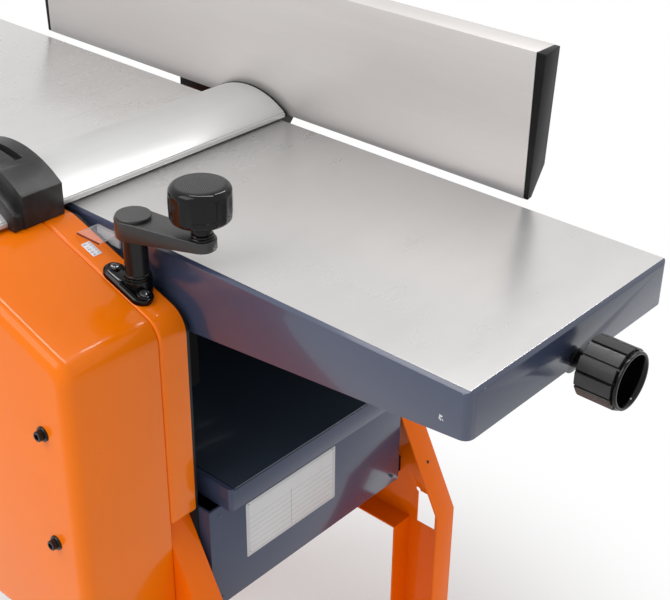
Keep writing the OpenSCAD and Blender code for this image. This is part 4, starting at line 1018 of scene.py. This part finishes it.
class PLANER_OT_depth_knob(bpy.types.Operator):
    """Adds the ribbed knob on the infeed table's depth screw."""

    bl_idname = "planer.depth_knob"
    bl_label = "Depth knob"

    def execute(self, context):
        count = context.scene.planer_sizes.knob_ribs
        place = shift(KNOB_SEAT, 0, DEPTH_SCREW_Z) @ ALONG_X
        body = [(6.05, -8), (7.6, -8), (8, -7.6), (8, -0.6), (8.6, 0), (22.4, 0), (22.8, 0.3),
                (23.1, 1.1), (23.2, 2), (23.2, 33.8), (22.9, 34.1), (22.9, 34.7), (24, 35),
                (24.5, 35.3), (24.7, 35.8), (24.7, 37.2), (24.4, 37.75), (23.8, 38), (22.8, 38),
                (22.2, 37.75), (21.9, 37.2), (20.9, 34.6), (20.7, 33), (20.7, 17), (20.2, 16.2),
                (19.2, 16), (9.5, 16), (9.5, 19), (9, 19.4), (6.6, 19.4), (6.05, 19), (6.05, -8)]
        add_piece("depth_knob_body", lathed(body, 96, place), "gloss", "depth_adjuster",
                  ("depth_knob",))
        rows = []
        root, reach, wide = 22.6, 25.85, 0.222 * 12 / count
        for z, low, narrow in ((1.2, 1.2, 0.04), (1.5, 0.4, 0.015), (2.0, 0, 0), (18, 0, 0),
                               (33.3, 0, 0), (33.6, 0.2, 0.006), (33.7, 0.7, 0.02)):
            half = wide - narrow
            face = reach - low
            side = [(root, half), (face / math.cos(half) - 0.5, half),
                    (face / math.cos(half) - 0.12, half - 0.008),
                    (face / math.cos(half - 0.03), half - 0.03)]
            row = [(r, -t) for r, t in side] + [(face, 0)] + side[::-1]
            rows.append([point(max(r, root) * math.cos(t), max(r, root) * math.sin(t), z)
                         for r, t in row])
        add_pattern("rib", skinned(rows))
        base = bpy.data.meshes.new("ribs")
        made = run_tree("ring", base, "rib", "grip", Count=count)
        made.transform(place)
        add_piece("depth_knob_ribs", made, "grip", "depth_adjuster")
        return {"FINISHED"}


class PLANER_OT_scales(bpy.types.Operator):
    """Adds the depth scale with its marks, and the bare rating plate with its rivets."""

    bl_idname = "planer.scales"
    bl_label = "Scales and plates"

    def execute(self, context):
        place = on_shoulder(*DIAL)
        self.add_film("depth_scale", place, 9, 4.8, 0.8, "white")
        upright = shift(*PLATE) @ ALONG_X @ Matrix.Rotation(math.pi / 2, 4, "Z")
        self.add_film("rating_plate", upright, 64.5, 33, 1.5, "plate")
        bm = bmesh.new()
        step = 3.4
        for i in range(5):
            at = step * (i - 2)
            self.bar(bm, place, at - 0.16, at + 0.16, 1.2, 4.2)
            if i < 4:
                self.bar(bm, place, at + 1.6, at + 1.8, 2.6, 4.2)
            self.digit(bm, place, at, -2.4, i)
        tidy(bm)
        add_piece("depth_scale_marks", bm, "ink", "machine")
        rivets = [((PLATE[0] + 0.4, PLATE[1] + a, PLATE[2] + b), (1, 0, 0))
                  for a in (-61, 61) for b in (-29.5, 29.5)]
        fasten("rating_plate_rivets", "rivet", rivets, "zinc", "machined_steel")
        return {"FINISHED"}

    def add_film(self, name, place, half_x, half_y, radius, finish):
        """A thin film with rounded corners and an eased edge."""
        rings = []
        for inset, z in ((0, 0), (0, 0.28), (0.15, 0.4)):
            a, b = half_x - inset, half_y - inset
            outline = rounded([(-a, -b, radius), (a, -b, radius), (a, b, radius),
                               (-a, b, radius)], 4)
            rings.append([place @ point(p.x, p.y, z) for p in outline])
        add_piece(name, skinned(rings), finish, "machine", ("label_plates",))

    def bar(self, bm, place, x0, x1, y0, y1):
        """A thin stroke of ink."""
        loft(bm, [[place @ point(x, y, z) for x, y in ((x0, y0), (x1, y0), (x1, y1), (x0, y1))]
                  for z in (0.38, 0.46)])

    def digit(self, bm, place, x, y, number):
        """A small number from seven strokes."""
        strokes = {0: "abcdef", 1: "bc", 2: "abged", 3: "abgcd", 4: "fgbc"}[number]
        w, h, t = 0.75, 1.3, 0.16
        for stroke, box in {
                "a": (-w, w, h - t, h + t), "g": (-w, w, -t, t), "d": (-w, w, -h - t, -h + t),
                "b": (w - t, w + t, 0, h), "c": (w - t, w + t, -h, 0),
                "f": (-w - t, -w + t, 0, h), "e": (-w - t, -w + t, -h, 0)}.items():
            if stroke in strokes:
                self.bar(bm, place, x + box[0], x + box[1], y + box[2], y + box[3])


class PLANER_OT_fasteners(bpy.types.Operator):
    """Adds screws, bolts, rivets and washers wherever two parts are joined."""

    bl_idname = "planer.fasteners"
    bl_label = "Fasteners"

    def execute(self, context):
        on_flange = [tuple(on_shoulder(*FLANGE) @ point(FLANGE_SCREW * side, 0, 5.8) / mm)
                     for side in (-1, 1)]
        square = (math.sin(SHOULDER_ANGLE), 0, math.cos(SHOULDER_ANGLE))
        ends = (-1, 1)
        steel = "machined_steel"
        groups = [
            ("drive_cover_screws", "socket",
             [((e * 174, -COVER_FRONT, TABLE_Z - d), (0, -1, 0)) for e in ends for d in (123, 240)],
             "blackened", "black_plastic", ("cover_screws",)),
            ("crank_flange_heads", "cross", [(place, square) for place in on_flange],
             "dark", steel, ("crank_flange_screws",)),
            ("stand_frame_bolts", "hexagon",
             [((e * 185, s * WEB_OUT, TABLE_Z - d), (0, s, 0))
              for e in ends for s in ends for d in (290, 355)], "zinc", steel, ("frame_bolts",)),
            ("outfeed_table_screws", "flat",
             [((-198, -13, TABLE_Z), (0, 0, 1)), ((-199, 46, TABLE_Z), (0, 0, 1))],
             "zinc", steel),
            ("rear_housing_screws", "small_hex",
             [((x, WEB_OUT, TABLE_Z - d), (0, 1, 0)) for x, d in (
                 (-190, 75), (190, 75), (-190, 245), (190, 245), (-90, 245), (90, 245))],
             "zinc", steel),
            ("stand_leg_screws", "rivet",
             [((e * 248.1, s * 163, 510.6), (e, 0, 0.504)) for e in ends for s in ends],
             "blackened", steel),
            ("switch_screws", "small_socket",
             [((e * 51, -224, z), (0, -1, 0)) for e in ends for z in (421, 479)],
             "blackened", steel),
            ("fence_bracket_bolts", "hexagon",
             [((x, 188, TABLE_Z - 50), (0, 1, 0)) for x in (-136, -84, -30)], "zinc", steel),
            ("lower_box_rivets", "rivet",
             [((e * PLATE[0], y, z), (e, 0, 0)) for e in ends for y in (-130, 130)
              for z in (497, 598)], "blue", "blue_paint"),
        ]
        for group in groups:
            fasten(*group)
        return {"FINISHED"}


class PLANER_OT_chains(bpy.types.Operator):
    """Adds the links of the feed chain and of the lift chain."""

    bl_idname = "planer.chains"
    bl_label = "Chains"

    def execute(self, context):
        add_pattern("link", self.link())
        x, z = FEED_ROLLERS
        feed_y, roller_wheel, nut_wheel, crank_wheel = 170.5, 15.8, 22.6, 14.8
        feed = self.loop((-x, z), roller_wheel, (x, z), roller_wheel)
        lift = self.loop((LIFT_SCREW_X, 0), nut_wheel, CRANK, crank_wheel)
        tracks = [
            ("feed_chain_links", [point(a, feed_y, b) for a, b in feed], (0, 1, 0)),
            ("lift_chain_links", [point(a, b, LIFT_SPROCKETS_Z) for a, b in lift], (0, 0, 1)),
        ]
        for name, track, across in tracks:
            base = bpy.data.meshes.new(name)
            count = len(track)
            base.from_pydata(track, [(i, (i + 1) % count) for i in range(count)], [])
            length = sum((track[i] - track[i - 1]).length for i in range(count))
            made = run_tree("chain", base, "link", "steel", Across=across,
                            Count=round(length / (CHAIN_PITCH * mm)))
            add_piece(name, made, "steel", "machine", ("drive_chains",))
        return {"FINISHED"}

    def loop(self, c1, r1, c2, r2):
        """Points of a loop round two wheels."""
        steps = 20
        c1, c2 = Vector(c1), Vector(c2)
        way = c2 - c1
        base = math.degrees(math.atan2(way.y, way.x))
        bend = math.degrees(math.acos((r1 - r2) / way.length))
        first = arc(c1.x, c1.y, r1, base + bend, base + 360 - bend, steps)
        return first + arc(c2.x, c2.y, r2, base - bend, base + bend, steps)

    def link(self):
        """One pitch of chain: two waisted plates, with a roller between them."""
        bm = bmesh.new()
        shape = [(-4.9, 0), (-4.2, 1.8), (-2.6, 2.2), (0, 1.5), (2.6, 2.2), (4.2, 1.8), (4.9, 0),
                 (4.2, -1.8), (2.6, -2.2), (0, -1.5), (-2.6, -2.2), (-4.2, -1.8)]
        for z in (-2.4, 1.6):
            loft(bm, [[point(x, y, h) for x, y in shape] for h in (z, z + 0.8)])
        lathe(bm, [(0, -1.6), (1.6, -1.6), (1.6, 1.6), (0, 1.6)], 10, shift(3.2, 0, 0))
        tidy(bm)
        return bm


class PLANER_OT_threads(bpy.types.Operator):
    """Adds the threaded lift screw and depth screw."""

    bl_idname = "planer.threads"
    bl_label = "Threads"

    def execute(self, context):
        lift = shift(LIFT_SCREW_X, 0, 0)
        self.add_screw("lift_screw_thread", lift, [(10, 621)], "bed", "lift_screw", "steel",
                       radius=10, pitch=4, low=295, high=612)
        depth = shift(0, 0, DEPTH_SCREW_Z) @ ALONG_X
        self.add_screw("depth_screw_thread", depth,
                       [(5.4, 230.6), (5.4, 240), (6, 240.6), (6, 541)], "depth_adjuster",
                       "depth_screw", "gloss", radius=6, pitch=1.75, low=107, high=230)
        washer = lathed([(6, 506), (7.7, 506), (8, 506.3), (8, 507.7), (7.7, 508), (6, 508),
                         (6, 506)], 48, depth)
        add_piece("depth_screw_washer", washer, "plastic", "depth_adjuster")
        return {"FINISHED"}

    def add_screw(self, name, place, plain, body, node, finish, radius, pitch, low, high):
        """A rod with a thread from low to high, and a plain end through the plain points."""
        depth = 0.5 * pitch

        def thread(turn, r, height):
            if r < radius - 0.01 or not low + pitch < height < high - pitch:
                return 0
            part = (height / pitch - turn / math.tau) % 1
            return -depth * min(1, max(0, 2.6 - abs(part - 0.5) * 8))
        rings = int((high - low) / pitch * 6)
        profile = [(0, low), (radius - 1, low)]
        profile += [(radius, low + 1 + (high - low - 1) * i / rings) for i in range(rings + 1)]
        profile += plain + [(0, plain[-1][1])]
        add_piece(name, lathed(profile, 18, place, thread), finish, body,
                  (node,), sharp=60)


def seen_rays(graph):
    """1 for rays of the camera, of mirrors and of glass, and 0 for the others."""
    path = graph.tree.nodes.new("ShaderNodeLightPath")
    rays = [Socket(graph, path.outputs[name])
            for name in ("Is Camera Ray", "Is Glossy Ray", "Is Transmission Ray")]
    return rays[0] + rays[1] + rays[2] > 0.5


class PLANER_OT_stage(bpy.types.Operator):
    """Adds the floor, the lamps and the camera."""

    bl_idname = "planer.stage"
    bl_label = "Stage"

    def execute(self, context):
        scene = context.scene
        stage = scene.planer_stage
        scene.view_settings.view_transform = "Standard"
        self.add_floor()
        self.add_world(scene, stage.world)
        middle = (0.2, -0.23, 0.8)
        self.add_lamp("key_lamp", (-0.6, -2.1, 3.4), middle, 2.2, 2.2, stage.key)
        for name, place, width, height in (("edge_lamp", (0.02, 0.52, 3.65), 2.4, 0.3),
                                           ("bend_lamp", (0.38, 1.72, 3.07), 0.3, 1.4)):
            lamp = self.add_lamp(name, place, middle, width, height, stage.edge * width * height)
            lamp.visible_diffuse = False
        self.add_camera(scene)
        return {"FINISHED"}

    def add_floor(self):
        """A wide disc that fades to white away from the machine."""
        bm = bmesh.new()
        lathe(bm, [(0, 0), (600, 0), (1600, 0), (4000, 0), (60000, 0)], 96)
        bmesh.ops.remove_doubles(bm, verts=bm.verts, dist=1e-6)
        bmesh.ops.dissolve_degenerate(bm, edges=bm.edges, dist=1e-6)
        floor = linked("floor", mesh_of("floor", bm))
        f = Finish("pale_floor", Roughness=0.9)
        f.feed("Base Color", f.between(f.grain(0.5, 3.0), srgb(238, 238, 237), srgb(244, 244, 244)))
        away = f.add("ShaderNodeVectorMath", {"operation": "LENGTH"}, f.place, output="Value")
        glow = f.add("ShaderNodeEmission", None, (1, 1, 1, 1), 1.0)
        mixed = f.add("ShaderNodeMixShader", None, seen_rays(f) * away.rise(0.3, 0.85),
                      Socket(f, f.shader.outputs[0]), glow)
        f.plug(mixed, f.surface.inputs[0])
        floor.data.materials.append(f.material)

    def add_world(self, scene, strength):
        """An even light, and plain white where the camera or a mirror sees it."""
        world = bpy.data.worlds.new("studio")
        scene.world = world
        world.use_nodes = True
        graph = Graph(world.node_tree)
        world.node_tree.nodes.clear()
        level = seen_rays(graph) * (1 - strength) + strength
        sky = graph.add("ShaderNodeBackground", None, (1, 1, 1, 1), level)
        output = world.node_tree.nodes.new("ShaderNodeOutputWorld")
        graph.plug(sky, output.inputs[0])

    def add_lamp(self, name, place, target, width, height, power):
        """A flat lamp that faces a target."""
        lamp = bpy.data.lights.new(name, "AREA")
        lamp.shape = "RECTANGLE"
        lamp.size, lamp.size_y = width, height
        lamp.energy = power
        holder = linked(name, lamp)
        holder.location = place
        aim = Vector(target) - Vector(place)
        holder.rotation_euler = aim.to_track_quat("-Z", "Y").to_euler()
        return holder

    def add_camera(self, scene):
        """The camera that took the photograph."""
        azimuth, elevation, roll = map(math.radians, CAMERA_ANGLES)
        back = Vector((math.sin(azimuth) * math.cos(elevation),
                       -math.cos(azimuth) * math.cos(elevation), math.sin(elevation)))
        right = Vector((math.cos(azimuth), math.sin(azimuth), 0))
        up = back.cross(right)
        across = math.cos(roll) * right + math.sin(roll) * up
        upward = math.cos(roll) * up - math.sin(roll) * right
        lens = bpy.data.cameras.new("camera")
        lens.sensor_width = 36
        lens.lens = CAMERA_FOCUS / PHOTO_WIDTH * lens.sensor_width
        lens.clip_start, lens.clip_end = 0.05, 100
        camera = linked("camera", lens)
        turn = Matrix((across, upward, back)).transposed()
        camera.matrix_world = Matrix.Translation(CAMERA_PLACE) @ turn.to_4x4()
        scene.camera = camera


class PLANER_PT_panel(bpy.types.Panel):
    """Lists the machine's settings and the operators that add its pieces."""

    bl_idname = "PLANER_PT_panel"
    bl_label = "Planer Thicknesser"
    bl_space_type = "VIEW_3D"
    bl_region_type = "UI"
    bl_category = "Planer"

    def draw(self, context):
        for group in (context.scene.planer_looks, context.scene.planer_sizes,
                      context.scene.planer_stage):
            box = self.layout.box()
            for name in group.bl_rna.properties.keys():
                if name not in ("rna_type", "name"):
                    box.prop(group, name)
        for operator in operators:
            self.layout.operator(operator.bl_idname)


operators = (PLANER_OT_stage, PLANER_OT_frame, PLANER_OT_housings, PLANER_OT_crank,
             PLANER_OT_guard_end, PLANER_OT_depth_knob, PLANER_OT_scales, PLANER_OT_fasteners,
             PLANER_OT_chains, PLANER_OT_threads)
groups = {"planer_looks": PlanerLooks, "planer_sizes": PlanerSizes, "planer_stage": PlanerStage}


def register():
    for kind in (*groups.values(), *operators, PLANER_PT_panel):
        bpy.utils.register_class(kind)
    for name, kind in groups.items():
        setattr(bpy.types.Scene, name, PointerProperty(type=kind))


def unregister():
    for name in groups:
        delattr(bpy.types.Scene, name)
    for kind in (PLANER_PT_panel, *reversed(operators), *reversed(tuple(groups.values()))):
        bpy.utils.unregister_class(kind)


def main():
    """Makes every piece."""
    register()
    for operator in operators:
        group, call = operator.bl_idname.split(".")
        getattr(getattr(bpy.ops, group), call)()
    for pattern in patterns.values():
        bpy.data.objects.remove(pattern)


if __name__ == "__main__":
    main()
